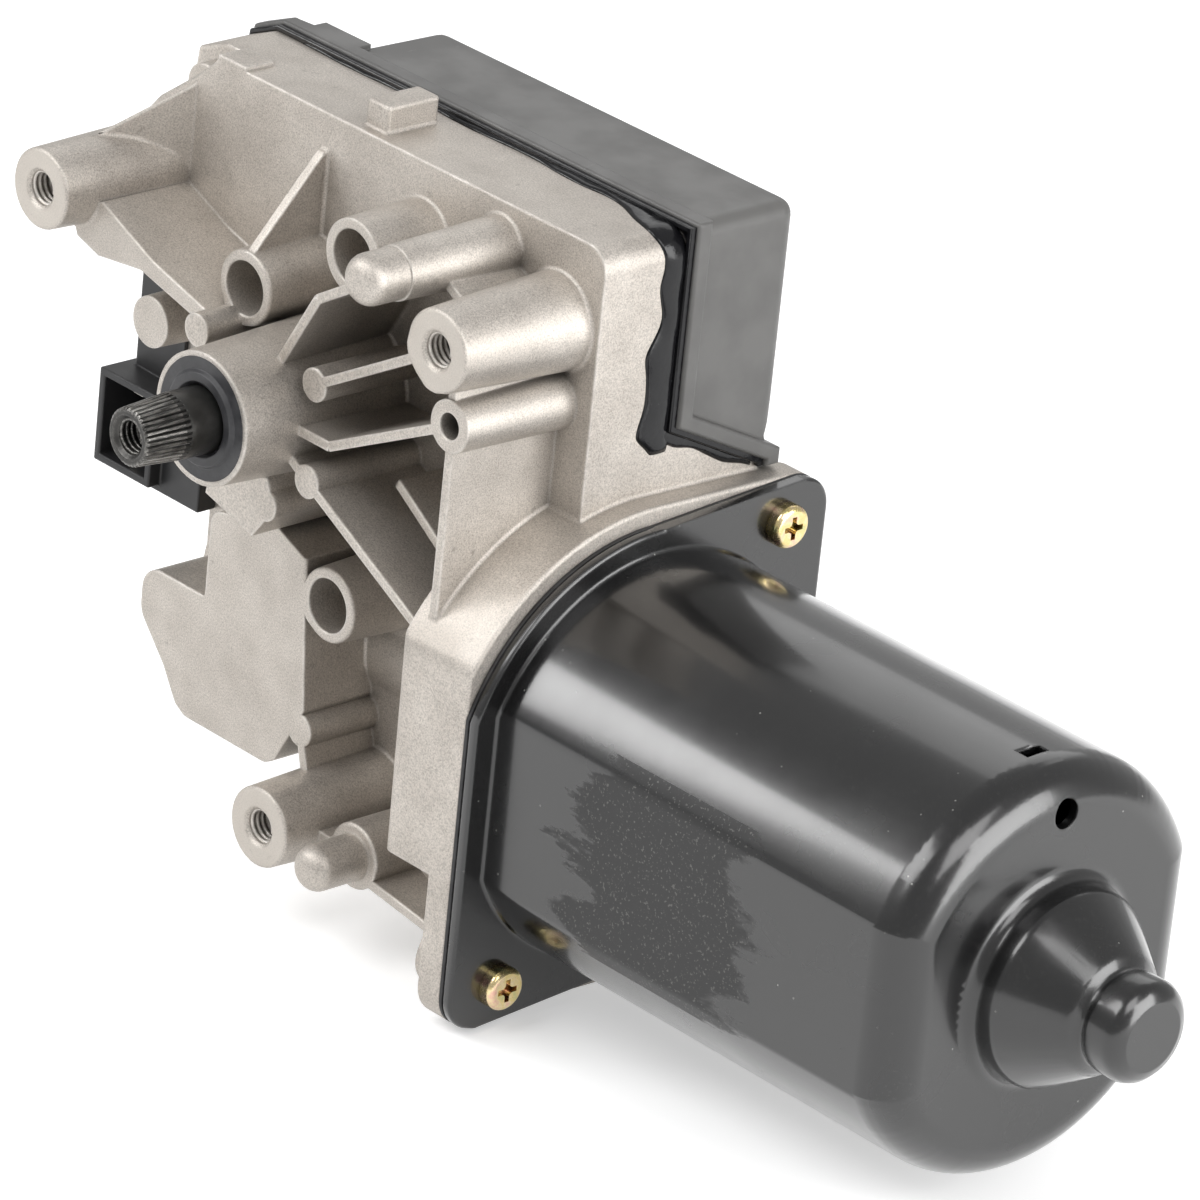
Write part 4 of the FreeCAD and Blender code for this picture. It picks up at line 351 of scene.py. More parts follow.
# Each mounting boss has an M8 thread tapped into it, which shows as bright turns in the dark
# bore. The thread's ridge is a helix swept along the bore wall, closed at both ends.
class Recipe(NodeTree):
    """A geometry node group with named inputs, which makes plain meshes."""

    def __init__(self, name, **inputs):
        super().__init__(bpy.data.node_groups.new(name, "GeometryNodeTree"))
        face = self.tree.interface
        self.ids = {}
        for label, value in {**inputs, "Finish": None}.items():
            kind = {int: "NodeSocketInt", float: "NodeSocketFloat"}.get(type(value),
                                                                       "NodeSocketMaterial")
            socket = face.new_socket(name=label.replace("_", " "), in_out="INPUT",
                                     socket_type=kind)
            if value is not None:
                socket.default_value = value
            self.ids[label] = socket.identifier
        face.new_socket(name="Geometry", in_out="OUTPUT", socket_type="NodeSocketGeometry")
        self.given = self.add("NodeGroupInput").outputs

    def close(self, geometry):
        """Gives the shape its finish and hands it out."""
        real = self.add("GeometryNodeRealizeInstances", Geometry=geometry)
        covered = self.add("GeometryNodeSetMaterial", Geometry=real.outputs[0],
                           Material=self.given["Finish"])
        self.feed(self.add("NodeGroupOutput").inputs[0], covered.outputs[0])

    def make(self, name, body, slot, finish, turn=None, **values):
        """A plain mesh on a body, made with these values, its own Z turned to face somewhere."""
        piece = linked(name, bpy.data.meshes.new(name))
        modifier = piece.modifiers.new(self.tree.name, "NODES")
        modifier.node_group = self.tree
        for label, value in {**values, "Finish": finish}.items():
            modifier[self.ids[label]] = value
        apply_modifiers(piece)
        if turn is not None:
            piece.data.transform(turn)
        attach(piece, body)


def bore_thread():
    """A ridge that climbs a bore wall from 0 to its height along Z."""
    r = Recipe("bore_thread", Bore_Radius=0.0034, Pitch=0.00125, Height=0.01, Ridge=0.00045)
    turns = r.sums("DIVIDE", r.given["Height"], r.given["Pitch"])
    helix = r.add("GeometryNodeCurveSpiral", Resolution=28, Rotations=turns,
                  Start_Radius=r.given["Bore Radius"], End_Radius=r.given["Bore Radius"],
                  Height=r.given["Height"])
    upright = r.add("GeometryNodeSetCurveNormal", {"mode": "Z_UP"}, Curve=helix.outputs[0])
    ridge = r.add("GeometryNodeCurvePrimitiveCircle", Resolution=4, Radius=r.given["Ridge"])
    swept = r.add("GeometryNodeCurveToMesh", Curve=upright.outputs[0],
                  Profile_Curve=ridge.outputs["Curve"], Fill_Caps=True)
    r.close(swept.outputs[0])
    return r


def placed(x, y, z, axis=(0, 1, 0)):
    """Turns +Z to an axis and moves it to a place in millimetres."""
    turn = Vector((0, 0, 1)).rotation_difference(Vector(axis)).to_matrix().to_4x4()
    return Matrix.Translation(Vector((x, y, z)) * MM) @ turn


bright_thread = cast_alloy("tapped_alloy")
mount_thread = bore_thread()
MOUNTS = (-60.66, 22.8), (52.8, 31.5), (16.15, -79.9)
THREAD_START = 0.8
for number, (x, z) in enumerate(MOUNTS, 1):
    mount_thread.make("mount_%d_thread" % number, "motor_body", "cast_alloy", bright_thread,
                      placed(x, THREAD_START, z), Height=16 * MM)


# The lid over the electronics is moulded in dark grey glass-filled nylon with a fine spark
# texture. A rim runs round it where it meets the casting, and every outer edge is painted paler.
def shade(tone, share, lift=0.0):
    """A tone made darker or paler."""
    return tuple(min(1.0, share * part + lift) for part in tone)


def moulded(name, tone, rough, grain=0.25 * MM, scuffs=0.35):
    """Satin moulded plastic: fine texture, soft sheen changes, every outer edge painted paler, and
    scuffs.
    """
    f = Finish(name)
    texture = f.noise(grain, 2.0, 0.6)
    patches = f.noise(12 * MM, 3.0, 0.5)
    pale = shade(tone, 1.5, 0.04)
    colour = f.blend(f.ramp(patches, (0.4, 0.0), (0.6, 1.0)), tone, shade(tone, 0.82))
    # Every outer edge is painted paler, evenly all round.
    paler_edges = f.sums("MULTIPLY", f.corners(0.6 * MM, False), 0.6)
    colour = f.blend(paler_edges, colour, pale)
    marks = f.ramp(f.noise(2.4 * MM, 5.0, 0.7, (1.0, 0.25, 1.0)), (0.68, 0.0), (0.72, scuffs))
    colour = f.blend(marks, colour, pale)
    sheen = f.ramp(patches, (0.3, rough - 0.05), (0.7, rough + 0.07))
    return f.set(Base_Color=colour, Roughness=sheen, Specular_IOR_Level=0.5,
                 Normal=f.bump(texture, 0.02 * MM, 0.5, f.bump(patches, 0.1 * MM, 0.12,
                                                                f.rounded(0.5 * MM))))


LID_SIDES = ("z", 50), ("y", 77.5), ("x", 64.2), ("x", -36)


def lid_corner(a, b):
    """The outer edges of the lid's box, and the upper corners of its rim."""
    shared = [all(abs(getattr(end, axis) - at) < 0.1 for end in (a, b)) for axis, at in LID_SIDES]
    return sum(shared) > 1 and (a - b).length > 15


grey_nylon = moulded("grey_nylon", (0.115, 0.113, 0.109), 0.38)
dress("electronics_cover", "moulded_electronics_cover", "motor_body", grey_nylon, 0.6 * MM,
      35, 3, shape=lambda piece: rounded_by(piece, 3.2 * MM, 6, lid_corner))


# Four pan-head screws hold the lid to posts in the casting. They are plated like the others and
# sit down in wells of the lid, and painted shade darkens round their heads.
def zinc_plate(name):
    """Yellow zinc plating, whose film shifts between gold, green and pink."""
    f = Finish(name)
    film = f.noise(2.6 * MM, 2.0, 0.5)
    colour = f.ramp(film, (0.32, (0.62, 0.6, 0.3)), (0.45, (0.83, 0.66, 0.3)),
                    (0.55, (0.86, 0.7, 0.42)), (0.68, (0.84, 0.52, 0.4)))
    # Painted shade: the recesses and the places near other parts are darkened brown.
    colour = f.blend(f.corners(1.2 * MM, True), colour, (0.2, 0.12, 0.05))
    fine = f.noise(0.3 * MM, 3.0)
    return f.set(Base_Color=colour, Metallic=1.0, Roughness=f.ramp(fine, (0.3, 0.17), (0.7, 0.3)),
                 Normal=f.bump(fine, 0.01 * MM, 0.5))


dress("cover_screws", "cover_screws_plated", "motor_body", zinc_plate("cover_screw_zinc"),
      0.3 * MM, 30)


# Black silicone seals the lid to the casting. It was laid by hand as a wet bead, so it squeezed
# out in lumps along the top and smeared down the right-hand side before it set.
def silicone(name):
    f = Finish(name)
    lumps = f.noise(2.2 * MM, 3.0, 0.6)
    dust = f.ramp(f.noise(0.5 * MM, 2.0, 0.5), (0.74, 0.0), (0.78, 0.5))
    colour = f.blend(dust, (0.006, 0.006, 0.007), (0.2, 0.2, 0.19))
    rough = f.ramp(lumps, (0.35, 0.1), (0.65, 0.26))
    return f.set(Base_Color=colour, Roughness=rough, IOR=1.4,
                 Normal=f.bump(lumps, 0.22 * MM, 0.4))


wet_silicone = silicone("black_silicone")
dress("cover_seal", "silicone_seal", "motor_body", wet_silicone, 0.3 * MM, 30)


def smooth_value(stops, at):
    """Reads a value between (place, value) stops, eased at each stop."""
    for (low, first), (high, second) in zip(stops, stops[1:]):
        if at <= high:
            part = (at - low) / (high - low)
            part = part * part * (3 - 2 * part)
            return first + (second - first) * part
    return stops[-1][1]


ACROSS = 8
ROOT = -0.15
KEEL = -0.25


def sealant_run(name, widths, thick, to_place, steps=110):
    """A domed ribbon on a face, from its root in the face up to its crown. Each (place, width)
    is along the run, in mm; to_place turns a place along it, across it and up into a point."""
    mesh = bmesh.new()
    rows = []
    start, end = widths[0][0], widths[-1][0]
    for step in range(steps + 1):
        along = start + (end - start) * step / steps
        ripple = 1 + 0.015 * math.sin(0.8 * along)
        width = smooth_value(widths, along) * ripple
        tip = min(1.0, min(step, steps - step) / 4)
        row = []
        for side in range(ACROSS + 1):
            part = side / ACROSS
            swell = math.sin(math.pi * min(1.0, 0.06 + 0.94 * part)) ** 0.6
            lump = 1 + 0.1 * math.sin(0.7 * along + 2 * part)
            up = ROOT + (thick * swell * lump + 0.1) * tip if 0 < side < ACROSS else ROOT
            row.append(mesh.verts.new(to_place(along, width * part, up)))
        rows.append(row)
    keel = [mesh.verts.new(to_place(start + (end - start) * step / steps, 0, KEEL))
            for step in range(steps + 1)]
    for first, second in zip(rows, rows[1:]):
        for a, b, c, e in zip(first, first[1:], second[1:], second):
            mesh.faces.new((a, b, c, e))
    for step in range(steps):
        mesh.faces.new((keel[step], rows[step][0], rows[step + 1][0], keel[step + 1]))
        mesh.faces.new((rows[step][-1], keel[step], keel[step + 1], rows[step + 1][-1]))
    for row, point in ((rows[0], keel[0]), (rows[-1], keel[-1])):
        mesh.faces.new(row + [point])
    bmesh.ops.recalc_face_normals(mesh, faces=mesh.faces)
    for face in mesh.faces:
        face.smooth = True
    data = bpy.data.meshes.new(name)
    mesh.to_mesh(data)
    mesh.free()
    data.materials.append(wet_silicone)
    run = linked(name, data)
    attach(run, "motor_body")


SEAM_Y = 50
TURN_X = 59.2
TURN_Z = 44
TURN_RADIUS = 5
SLOPE_TOP_Z = 9.6
SLOPE_BACK, SLOPE_DOWN = 0.9, 0.44


def round_the_corner(along, over, up):
    """A point on the seam, which runs along the top, round the casting's corner and down its
    right side. The way along is 0 where the corner begins."""
    turn = min(max(along / TURN_RADIUS, 0), math.pi / 2)
    beyond = along - turn * TURN_RADIUS
    x = TURN_X + (TURN_RADIUS + up) * math.sin(turn) + (beyond if along < 0 else 0)
    z = TURN_Z + (TURN_RADIUS + up) * math.cos(turn) - (beyond if along > 0 else 0)
    return Vector((x, SEAM_Y - over, z)) * MM


def under_the_lid(along, over, up):
    """A point on the right side below the lid, where the seam slopes down to the back."""
    return Vector((TURN_X + TURN_RADIUS + up, SEAM_Y + SLOPE_BACK * along,
                   SLOPE_TOP_Z - SLOPE_DOWN * along - over)) * MM


sealant_run("seam_bead", ((-104, 1.2), (-89, 1.7), (-71, 1.3), (-55, 2.1), (-39, 1.6), (-24, 2.7),
                          (-15, 2.2), (2, 7.0), (9, 5.8), (13, 6.6), (18.5, 5.2), (27, 8.4),
                          (34, 7.4), (42, 8.8), (47, 5.0)), 0.65, round_the_corner, 420)
sealant_run("low_smear", ((-6, 4.0), (1, 3.4), (8, 2.2), (15, 2.8), (25, 1.4)), 0.5,
            under_the_lid)


# The connector and the arm that holds it are one black nylon moulding, open to the front. It is
# duller than the lid, and faint lines show where the mould closed.
dress("connector_housing", "connector_moulding", "motor_body",
      moulded("black_nylon", (0.018, 0.018, 0.019), 0.42, 0.2 * MM, 0.2), 0.35 * MM, 30)


# Flat blades stamped from brass strip and dipped in tin stand in the socket. The tin is a soft
# grey with the faint lengthwise lines of rolled strip.
def strip_metal(name, tone, rough, stretch, tarnish=0.25):
    """Rolled or drawn metal: fine lines along one way, soft tarnish, brighter edges."""
    f = Finish(name)
    lines = f.noise(0.35 * MM, 3.0, 0.6, stretch)
    clouds = f.noise(5 * MM, 4.0, 0.6)
    dark = shade(tone, 0.55)
    colour = f.blend(f.ramp(clouds, (0.4, 0.0), (0.7, tarnish * 2)), tone, dark)
    colour = f.blend(f.ramp(lines, (0.4, 0.0), (0.7, 0.35)), colour, dark)
    colour = f.blend(f.corners(0.3 * MM, False), colour, shade(tone, 1.25, 0.04))
    return f.set(Base_Color=colour, Metallic=1.0,
                 Roughness=f.ramp(lines, (0.3, rough - 0.06), (0.7, rough + 0.1)),
                 Normal=f.bump(lines, 0.008 * MM, 0.6))


dress("connector_terminals", "tinned_blades", "motor_body",
      strip_metal("tinned_brass", (0.6, 0.58, 0.53), 0.3, (1.0, 0.05, 1.0)), 0.08 * MM)


# The circuit board is glass epoxy under green solder mask. Copper tracks show through the mask
# as paler lines, and the drilled pads are bare tin.
def solder_mask(name):
    f = Finish(name)
    tracks = f.add("ShaderNodeTexBrick", {"offset": 0.37, "squash": 1.6},
                   Vector=f.stretched((1.0, 0.0, 1.0)), Scale=95.0, Mortar_Size=0.035,
                   Color1=(0.012, 0.075, 0.03), Color2=(0.018, 0.095, 0.04),
                   Mortar=(0.05, 0.2, 0.07))
    pads = f.add("ShaderNodeTexVoronoi", Vector=f.place, Scale=1 / (4.2 * MM))
    bare = f.ramp(pads.outputs["Distance"], (0.1, 1.0), (0.13, 0.0))
    colour = f.blend(bare, tracks.outputs["Color"], (0.6, 0.58, 0.52))
    relief = f.bump(tracks.outputs["Fac"], 0.04 * MM, 0.6)
    return f.set(Base_Color=colour, Metallic=bare, Roughness=f.ramp(f.noise(3 * MM), (0.3, 0.22),
                 (0.7, 0.38)), Coat_Weight=0.3, Normal=relief)


dress("circuit_board", "driver_board", "motor_body", solder_mask("green_solder_mask"),
      0.1 * MM)


# Small chip parts are placed by machine in rows on the back of the board and soldered flat. Each
# is a grey or black block a millimetre or two long.
def chip_rows():
    r = Recipe("chip_rows", Width=0.06, Depth=0.025, Columns=14, Rows=6, Share=0.5, Seed=7)
    field = r.add("GeometryNodeMeshGrid", Size_X=r.given["Width"], Size_Y=r.given["Depth"],
                  Vertices_X=r.given["Columns"], Vertices_Y=r.given["Rows"])
    chosen = r.add("FunctionNodeRandomValue", {"data_type": "BOOLEAN"}, Seed=r.given["Seed"],
                   Probability=r.given["Share"])
    stretch = r.add("FunctionNodeRandomValue", {"data_type": "FLOAT_VECTOR"},
                    Seed=r.given["Seed"], Min=(0.7, 0.8, 0.8), Max=(1.5, 1.3, 1.2))
    chip = r.add("GeometryNodeMeshCube", Size=(1.8 * MM, 1.1 * MM, 0.8 * MM))
    spread = r.add("GeometryNodeInstanceOnPoints", Points=field.outputs[0],
                   Selection=chosen.outputs[3], Instance=chip.outputs[0],
                   Scale=stretch.outputs[0])
    r.close(spread.outputs[0])
    return r


board_back = placed(-5, 71.9, 24)
chip_rows().make("board_chips", "motor_body", "board",
                 moulded("chip_bodies", (0.05, 0.048, 0.045), 0.4, 0.3 * MM), board_back)


# The park and speed relay has a black moulded case, glued shut at its base. It switches the
# brushes and lets the motor run on until the wiper is parked.
dress("park_relay", "relay_case", "motor_body",
      moulded("relay_case_plastic", (0.014, 0.014, 0.015), 0.28, 0.3 * MM, 0.15), 0.35 * MM)


# The filter capacitors are aluminium tins in a shrunk dark blue sleeve, with the bare tin left
# showing at the ends.
def shrunk_sleeve(name):
    f = Finish(name)
    folds = f.noise(1.4 * MM, 3.0, 0.5, (1.0, 1.0, 0.2))
    tint = f.blend(f.ramp(folds, (0.4, 0.0), (0.65, 0.5)), (0.012, 0.022, 0.11), (0.03, 0.05, 0.2))
    tin = f.corners(1.0 * MM, False)
    return f.set(Base_Color=f.blend(tin, tint, 0.6), Metallic=tin,
                 Roughness=f.ramp(folds, (0.3, 0.2), (0.7, 0.32)), Coat_Weight=0.3,
                 Normal=f.bump(folds, 0.05 * MM, 0.3))


dress("filter_capacitors", "sleeved_capacitors", "motor_body", shrunk_sleeve("blue_sleeve"),
      0.4 * MM)


# The suppression chokes are enamelled copper wire wound close on a ferrite rod, so each shows
# fine turns side by side.
def wound_wire(name, pitch, axis):
    """Close turns of enamelled copper wire, with painted shade in the grooves between them."""
    f = Finish(name)
    turns = f.sums("FRACT", f.sums("MULTIPLY", f.along(axis), 1 / pitch), 0.0)
    round_wire = f.ramp(turns, (0.0, 0.0), (0.5, 1.0), (1.0, 0.0))
    varnish = f.noise(4 * MM, 3.0)
    copper = f.blend(varnish, (0.36, 0.12, 0.045), (0.56, 0.22, 0.09))
    # Painted shade: each turn darkens towards its edges, into the grooves between turns.
    return f.set(Base_Color=f.blend(round_wire, (0.03, 0.012, 0.006), copper), Metallic=0.85,
                 Roughness=f.ramp(varnish, (0.3, 0.22), (0.7, 0.38)), Coat_Weight=0.4,
                 Normal=f.bump(round_wire, 0.5 * pitch, 0.9))


dress("suppression_chokes", "suppression_chokes_wound", "motor_body",
      wound_wire("choke_wire", 0.7 * MM, 0), 0.3 * MM)


# The contact carrier is a natural nylon block, fixed in the lid's room, that holds the two park
# fingers clear of each other over the wheel.
dress("contact_carrier", "contact_carrier_block", "motor_body",
      moulded("natural_nylon", (0.52, 0.47, 0.36), 0.45, 0.4 * MM, 0.1), 0.3 * MM)


# The park fingers are bent from phosphor bronze strip. They rub on the park ring of the wheel
# and tell the electronics where the shaft stands.
dress("park_fingers", "bronze_park_fingers", "motor_body",
      strip_metal("phosphor_bronze", (0.62, 0.38, 0.19), 0.26, (1.0, 0.08, 1.0)), 0.06 * MM)


# Three flat leads stamped from tinned strip carry current from the board down to the brush
# plate. Fine lines of the rolling run along them.
dress("motor_leads", "motor_leads_tinned", "motor_body",
      strip_metal("lead_tin", (0.56, 0.52, 0.46), 0.34, (0.1, 1.0, 1.0)), 0.1 * MM)


# The seal round the output shaft is moulded nitrile rubber pressed into the nose. It has a
# raised lip next to the shaft and a dry, semi-matte skin with pale dust.
def rubber(name, tone, rough):
    f = Finish(name)
    skin = f.noise(0.45 * MM, 4.0, 0.7)
    bloom = f.noise(6 * MM, 4.0, 0.6)
    colour = f.blend(f.ramp(bloom, (0.45, 0.0), (0.7, 0.8)), tone, shade(tone, 1, 0.04))
    colour = f.blend(f.ramp(skin, (0.72, 0.0), (0.78, 0.5)), colour, (0.2, 0.2, 0.19))
    return f.set(Base_Color=colour, Roughness=f.ramp(bloom, (0.3, rough - 0.06),
                 (0.7, rough + 0.08)), Normal=f.bump(skin, 0.02 * MM, 0.6))


dress("shaft_seal", "nitrile_shaft_seal", "motor_body",
      rubber("nitrile", (0.02, 0.02, 0.023), 0.4), 0.15 * MM, 30, 3)


# Two bushes of porous sintered bronze, pressed into the nose, carry the output shaft. Oil in
# the pores darkens them in spots.
def sintered(name, tone):
    f = Finish(name)
    pores = f.noise(0.22 * MM, 2.0, 0.6)
    oil = f.noise(5 * MM, 4.0, 0.6)
    dark = shade(tone, 0.45)
    colour = f.blend(f.ramp(pores, (0.33, 1.0), (0.45, 0.0)), tone, dark)
    colour = f.blend(f.ramp(oil, (0.45, 0.0), (0.65, 0.6)), colour, dark)
    return f.set(Base_Color=colour, Metallic=0.9, Roughness=f.ramp(oil, (0.3, 0.46), (0.7, 0.3)),
                 Normal=f.bump(pores, 0.03 * MM, 0.7))


oiled_bronze = sintered("oiled_bronze", (0.45, 0.3, 0.16))
for end in ("front", "rear"):
    dress("shaft_bush_" + end, end + "_shaft_bush", "motor_body", oiled_bronze, 0.25 * MM)


# The output shaft is turned steel under black oxide. Its end is a fluted taper that bites into
# the wiper arm, and the flutes are scratched bright where an arm has sat.
FLUTES_END = -17 * MM


def black_oxide(name):
    f = Finish(name)
    at = f.along(1)
    lathe = f.noise(0.3 * MM, 3.0, 0.6, (0.05, 1.0, 0.05))
    clouds = f.noise(3 * MM, 4.0, 0.6)
    colour = f.blend(clouds, (0.03, 0.03, 0.029), (0.075, 0.072, 0.068))
    fluted = f.sums("LESS_THAN", at, FLUTES_END)
    crest = f.sums("MULTIPLY", f.corners(0.6 * MM, False, 0.3, 0.95), fluted)
    scratch = f.ramp(f.noise(0.5 * MM, 5.0, 0.7, (1.0, 0.12, 1.0)), (0.42, 0.1), (0.58, 1.0))
    bright = f.sums("MULTIPLY", crest, scratch)
    stray = f.ramp(f.noise(0.9 * MM, 5.0, 0.75, (0.2, 1.0, 1.0)), (0.7, 0.0), (0.74, 0.5))
    bright = f.sums("MAXIMUM", bright, stray)
    colour = f.blend(bright, colour, (0.66, 0.64, 0.6))
    return f.set(Base_Color=colour, Metallic=0.8,
                 Roughness=f.ramp(clouds, (0.3, 0.28), (0.7, 0.42)),
                 Normal=f.bump(lathe, 0.012 * MM, 0.6))


oxide = black_oxide("black_oxide")
dress("output_shaft", "fluted_output_shaft", "output_train", oxide, 0.1 * MM, 25)


# The shaft's end is bored and tapped M8 for the nut bolt of the arm, and its thread is blacked
# with the rest of the shaft.
bore_thread().make("shaft_end_thread", "output_train", "black_steel", oxide,
                   placed(0, -25.4, 0), Height=13 * MM)


# An external retaining ring of blued spring steel snaps into the shaft's groove under the seal
# and keeps the shaft from being pushed in.
dress("retaining_ring", "shaft_retaining_ring", "output_train",
      strip_metal("blued_ring_steel", (0.16, 0.16, 0.19), 0.3, (1.0, 0.2, 1.0)), 0.1 * MM)


# A hardened thrust washer runs between the wheel's boss and the rear bush. Both faces are
# ground and carry a trace of oil.
def ground(name, tone, rough, stretch, heat=0.0):
    """Ground or turned steel: fine grinding lines, faint oil, a straw tint where it ran hot."""
    f = Finish(name)
    lines = f.noise(0.18 * MM, 3.0, 0.65, stretch)
    oil = f.noise(6 * MM, 3.0, 0.5)
    colour = f.blend(lines, shade(tone, 0.75), tone)
    colour = f.blend(f.ramp(oil, (0.45, 0.0), (0.7, 0.3 + heat)), colour, (0.36, 0.27, 0.16))
    # Painted shade: the hollow corners and the corners against other parts are darkened.
    colour = f.blend(f.corners(1.5 * MM, True), colour, (0.08, 0.07, 0.06))
    return f.set(Base_Color=colour, Metallic=1.0,
                 Roughness=f.ramp(lines, (0.3, rough - 0.05), (0.7, rough + 0.08)),
                 Normal=f.bump(lines, 0.006 * MM, 0.6))


dress("thrust_washer", "ground_thrust_washer", "output_train",
      ground("ground_washer_steel", (0.6, 0.6, 0.6), 0.24, (1.0, 0.1, 0.3)), 0.08 * MM)


# The hub is turned steel, pressed on the shaft, and the plastic wheel is moulded round it. The
# lathe's fine rings show on it.
dress("wheel_hub", "turned_wheel_hub", "output_train",
      ground("turned_hub_steel", (0.5, 0.5, 0.51), 0.3, (0.08, 1.0, 0.08)), 0.15 * MM)


# The worm wheel is moulded in natural acetal, milky and slightly see-through, with a smear of
# amber grease left between its slanted teeth.
def greased_acetal(name):
    f = Finish(name)
    flow = f.noise(14 * MM, 3.0, 0.5)
    fine = f.noise(0.4 * MM, 2.0, 0.5)
    colour = f.blend(flow, (0.66, 0.62, 0.5), (0.76, 0.73, 0.63))
    grease = f.sums("MULTIPLY", f.corners(2.2 * MM, True),
                    f.ramp(f.noise(4 * MM, 5.0, 0.65), (0.4, 0.0), (0.55, 1.0)))
    colour = f.blend(grease, colour, (0.5, 0.32, 0.1))
    rough = f.blend(grease, 0.4, 0.12)
    return f.set(Base_Color=colour, Roughness=rough, Subsurface_Weight=0.12,
                 Subsurface_Scale=1.5 * MM,
                 Normal=f.bump(fine, 0.01 * MM, 0.5, f.bump(grease, 0.15 * MM, 0.5)))


dress("worm_wheel", "acetal_worm_wheel", "output_train", greased_acetal("greased_acetal"),
      0.15 * MM, 35, 1)


# The park ring is a copper disc with a step in its edge, riveted to the wheel. The fingers have
# rubbed clean circular tracks into its brown face.
def rubbed_copper(name):
    f = Finish(name)
    across = f.add("ShaderNodeVectorMath", {"operation": "LENGTH"})
    f.feed(across.inputs[0], f.stretched((1.0, 0.0, 1.0)))
    rings = f.add("ShaderNodeTexNoise", {"noise_dimensions": "1D"}, W=across.outputs["Value"],
                  Scale=1 / (0.5 * MM), Detail=3.0).outputs["Fac"]
    tracks = f.ramp(rings, (0.46, 0.0), (0.56, 1.0))
    tarnish = f.blend(f.noise(5 * MM), (0.3, 0.12, 0.06), (0.45, 0.2, 0.1))
    return f.set(Base_Color=f.blend(tracks, tarnish, (0.86, 0.5, 0.34)), Metallic=1.0,
                 Roughness=f.ramp(tracks, (0.0, 0.42), (1.0, 0.22)),
                 Normal=f.bump(rings, 0.01 * MM, 0.5))


dress("park_ring", "copper_park_ring", "output_train", rubbed_copper("park_ring_copper"),
      0.08 * MM)


# The armature shaft is one steel bar with the worm rolled into it. The worm is polished by
# running and greasy, and the journals are ground.
dress("armature_shaft", "armature_shaft_and_worm", "armature",
      ground("ground_shaft_steel", (0.58, 0.58, 0.58), 0.2, (1.0, 0.06, 0.06), 0.2),
      0.06 * MM, 40, 1)


# The armature's iron is a stack of thin stamped sheets, dark with varnish, and the sheet edges
# show as fine lines round it.
SHEET_PITCH = 0.65 * MM


def stacked_sheets(name):
    f = Finish(name)
    sheets = f.sums("FRACT", f.sums("MULTIPLY", f.along(0), 1 / SHEET_PITCH), 0.0)
    seam = f.ramp(sheets, (0.0, 0.0), (0.16, 1.0), (0.9, 1.0), (1.0, 0.1))
    stain = f.noise(8 * MM, 5.0, 0.65)
    metal = f.ramp(stain, (0.35, (0.14, 0.11, 0.09)), (0.65, (0.34, 0.33, 0.32)))
    return f.set(Base_Color=f.blend(seam, (0.03, 0.025, 0.02), metal), Metallic=0.9,
                 Roughness=f.ramp(stain, (0.3, 0.5), (0.7, 0.3)),
                 Normal=f.bump(seam, 0.06 * MM, 0.7))


dress("lamination_stack", "stamped_lamination_stack", "armature",
      stacked_sheets("varnished_sheets"), 0.15 * MM)


# The coils are enamelled copper wire, wound through the slots and crossing over each other at
# the ends, then soaked in varnish.
dress("armature_windings", "varnished_coils", "armature",
      wound_wire("coil_wire", 1.1 * MM, 2), 0.8 * MM, 35, 3)


# Wires cross from slot to slot over both ends of the coils. Each is a bowed strand that enters
# one slot and leaves four slots on.
def end_turns():
    r = Recipe("end_turns", Slots=12, Reach=0.025, Bow=0.0105, Wire=0.0005)
    strand = r.add("GeometryNodeCurveArc", Resolution=18, Radius=r.given["Bow"],
                   Start_Angle=math.radians(20), Sweep_Angle=math.radians(140))
    profile = r.add("GeometryNodeCurvePrimitiveCircle", Resolution=7, Radius=r.given["Wire"])
    wire = r.add("GeometryNodeCurveToMesh", Curve=strand.outputs[0],
                 Profile_Curve=profile.outputs["Curve"], Fill_Caps=True)
    ring = r.add("GeometryNodeMeshCircle", Vertices=r.given["Slots"], Radius=r.given["Reach"])
    number = r.add("GeometryNodeInputIndex")
    step = r.sums("DIVIDE", number.outputs[0], r.given["Slots"])
    turn = r.add("FunctionNodeAxisAngleToRotation", Axis=(0, 0, 1),
                 Angle=r.sums("MULTIPLY", step, 2 * math.pi))
    laid = r.add("GeometryNodeInstanceOnPoints", Points=ring.outputs[0],
                 Instance=wire.outputs[0], Rotation=turn.outputs[0])
    r.close(laid.outputs[0])
    return r


MOTOR_Y = 43.2
MOTOR_Z = -51.8
crossing = end_turns()
coil_copper = wound_wire("end_turn_wire", 0.9 * MM, 0)
for name, x, facing in (("front_end_turns", 79.3, -1), ("rear_end_turns", 146.7, 1)):
    crossing.make(name, "armature", "winding_copper", coil_copper,
                  placed(x, MOTOR_Y, MOTOR_Z, (facing, 0, 0)), Reach=16.2 * MM)


# The commutator is a ring of copper bars parted by mica, turned true after moulding. The
# brushes have burnished a dark bright band round it.
def burnished_bars(name):
    f = Finish(name)
    lathe = f.noise(0.16 * MM, 3.0, 0.6, (1.0, 0.08, 0.08))
    burnt = f.noise(3 * MM, 4.0, 0.6, (0.4, 1.0, 1.0))
    track = f.sums("MULTIPLY", f.band(0, 63.5 * MM, 73 * MM), f.ramp(burnt, (0.3, 0.5), (0.6, 1.0)))
    colour = f.blend(track, (0.72, 0.38, 0.24), (0.28, 0.14, 0.1))
    # Painted dark in the slots between bars, for the mica in them and for shade, and painted shade
    # where the bars meet other parts.
    colour = f.blend(f.corners(0.7 * MM, True), colour, (0.04, 0.025, 0.02))
    return f.set(Base_Color=colour, Metallic=1.0, Roughness=f.ramp(lathe, (0.3, 0.18), (0.7, 0.32)),
                 Normal=f.bump(lathe, 0.01 * MM, 0.6))


dress("commutator", "turned_commutator", "armature", burnished_bars("commutator_bars"),
      0.05 * MM, 35, 1)


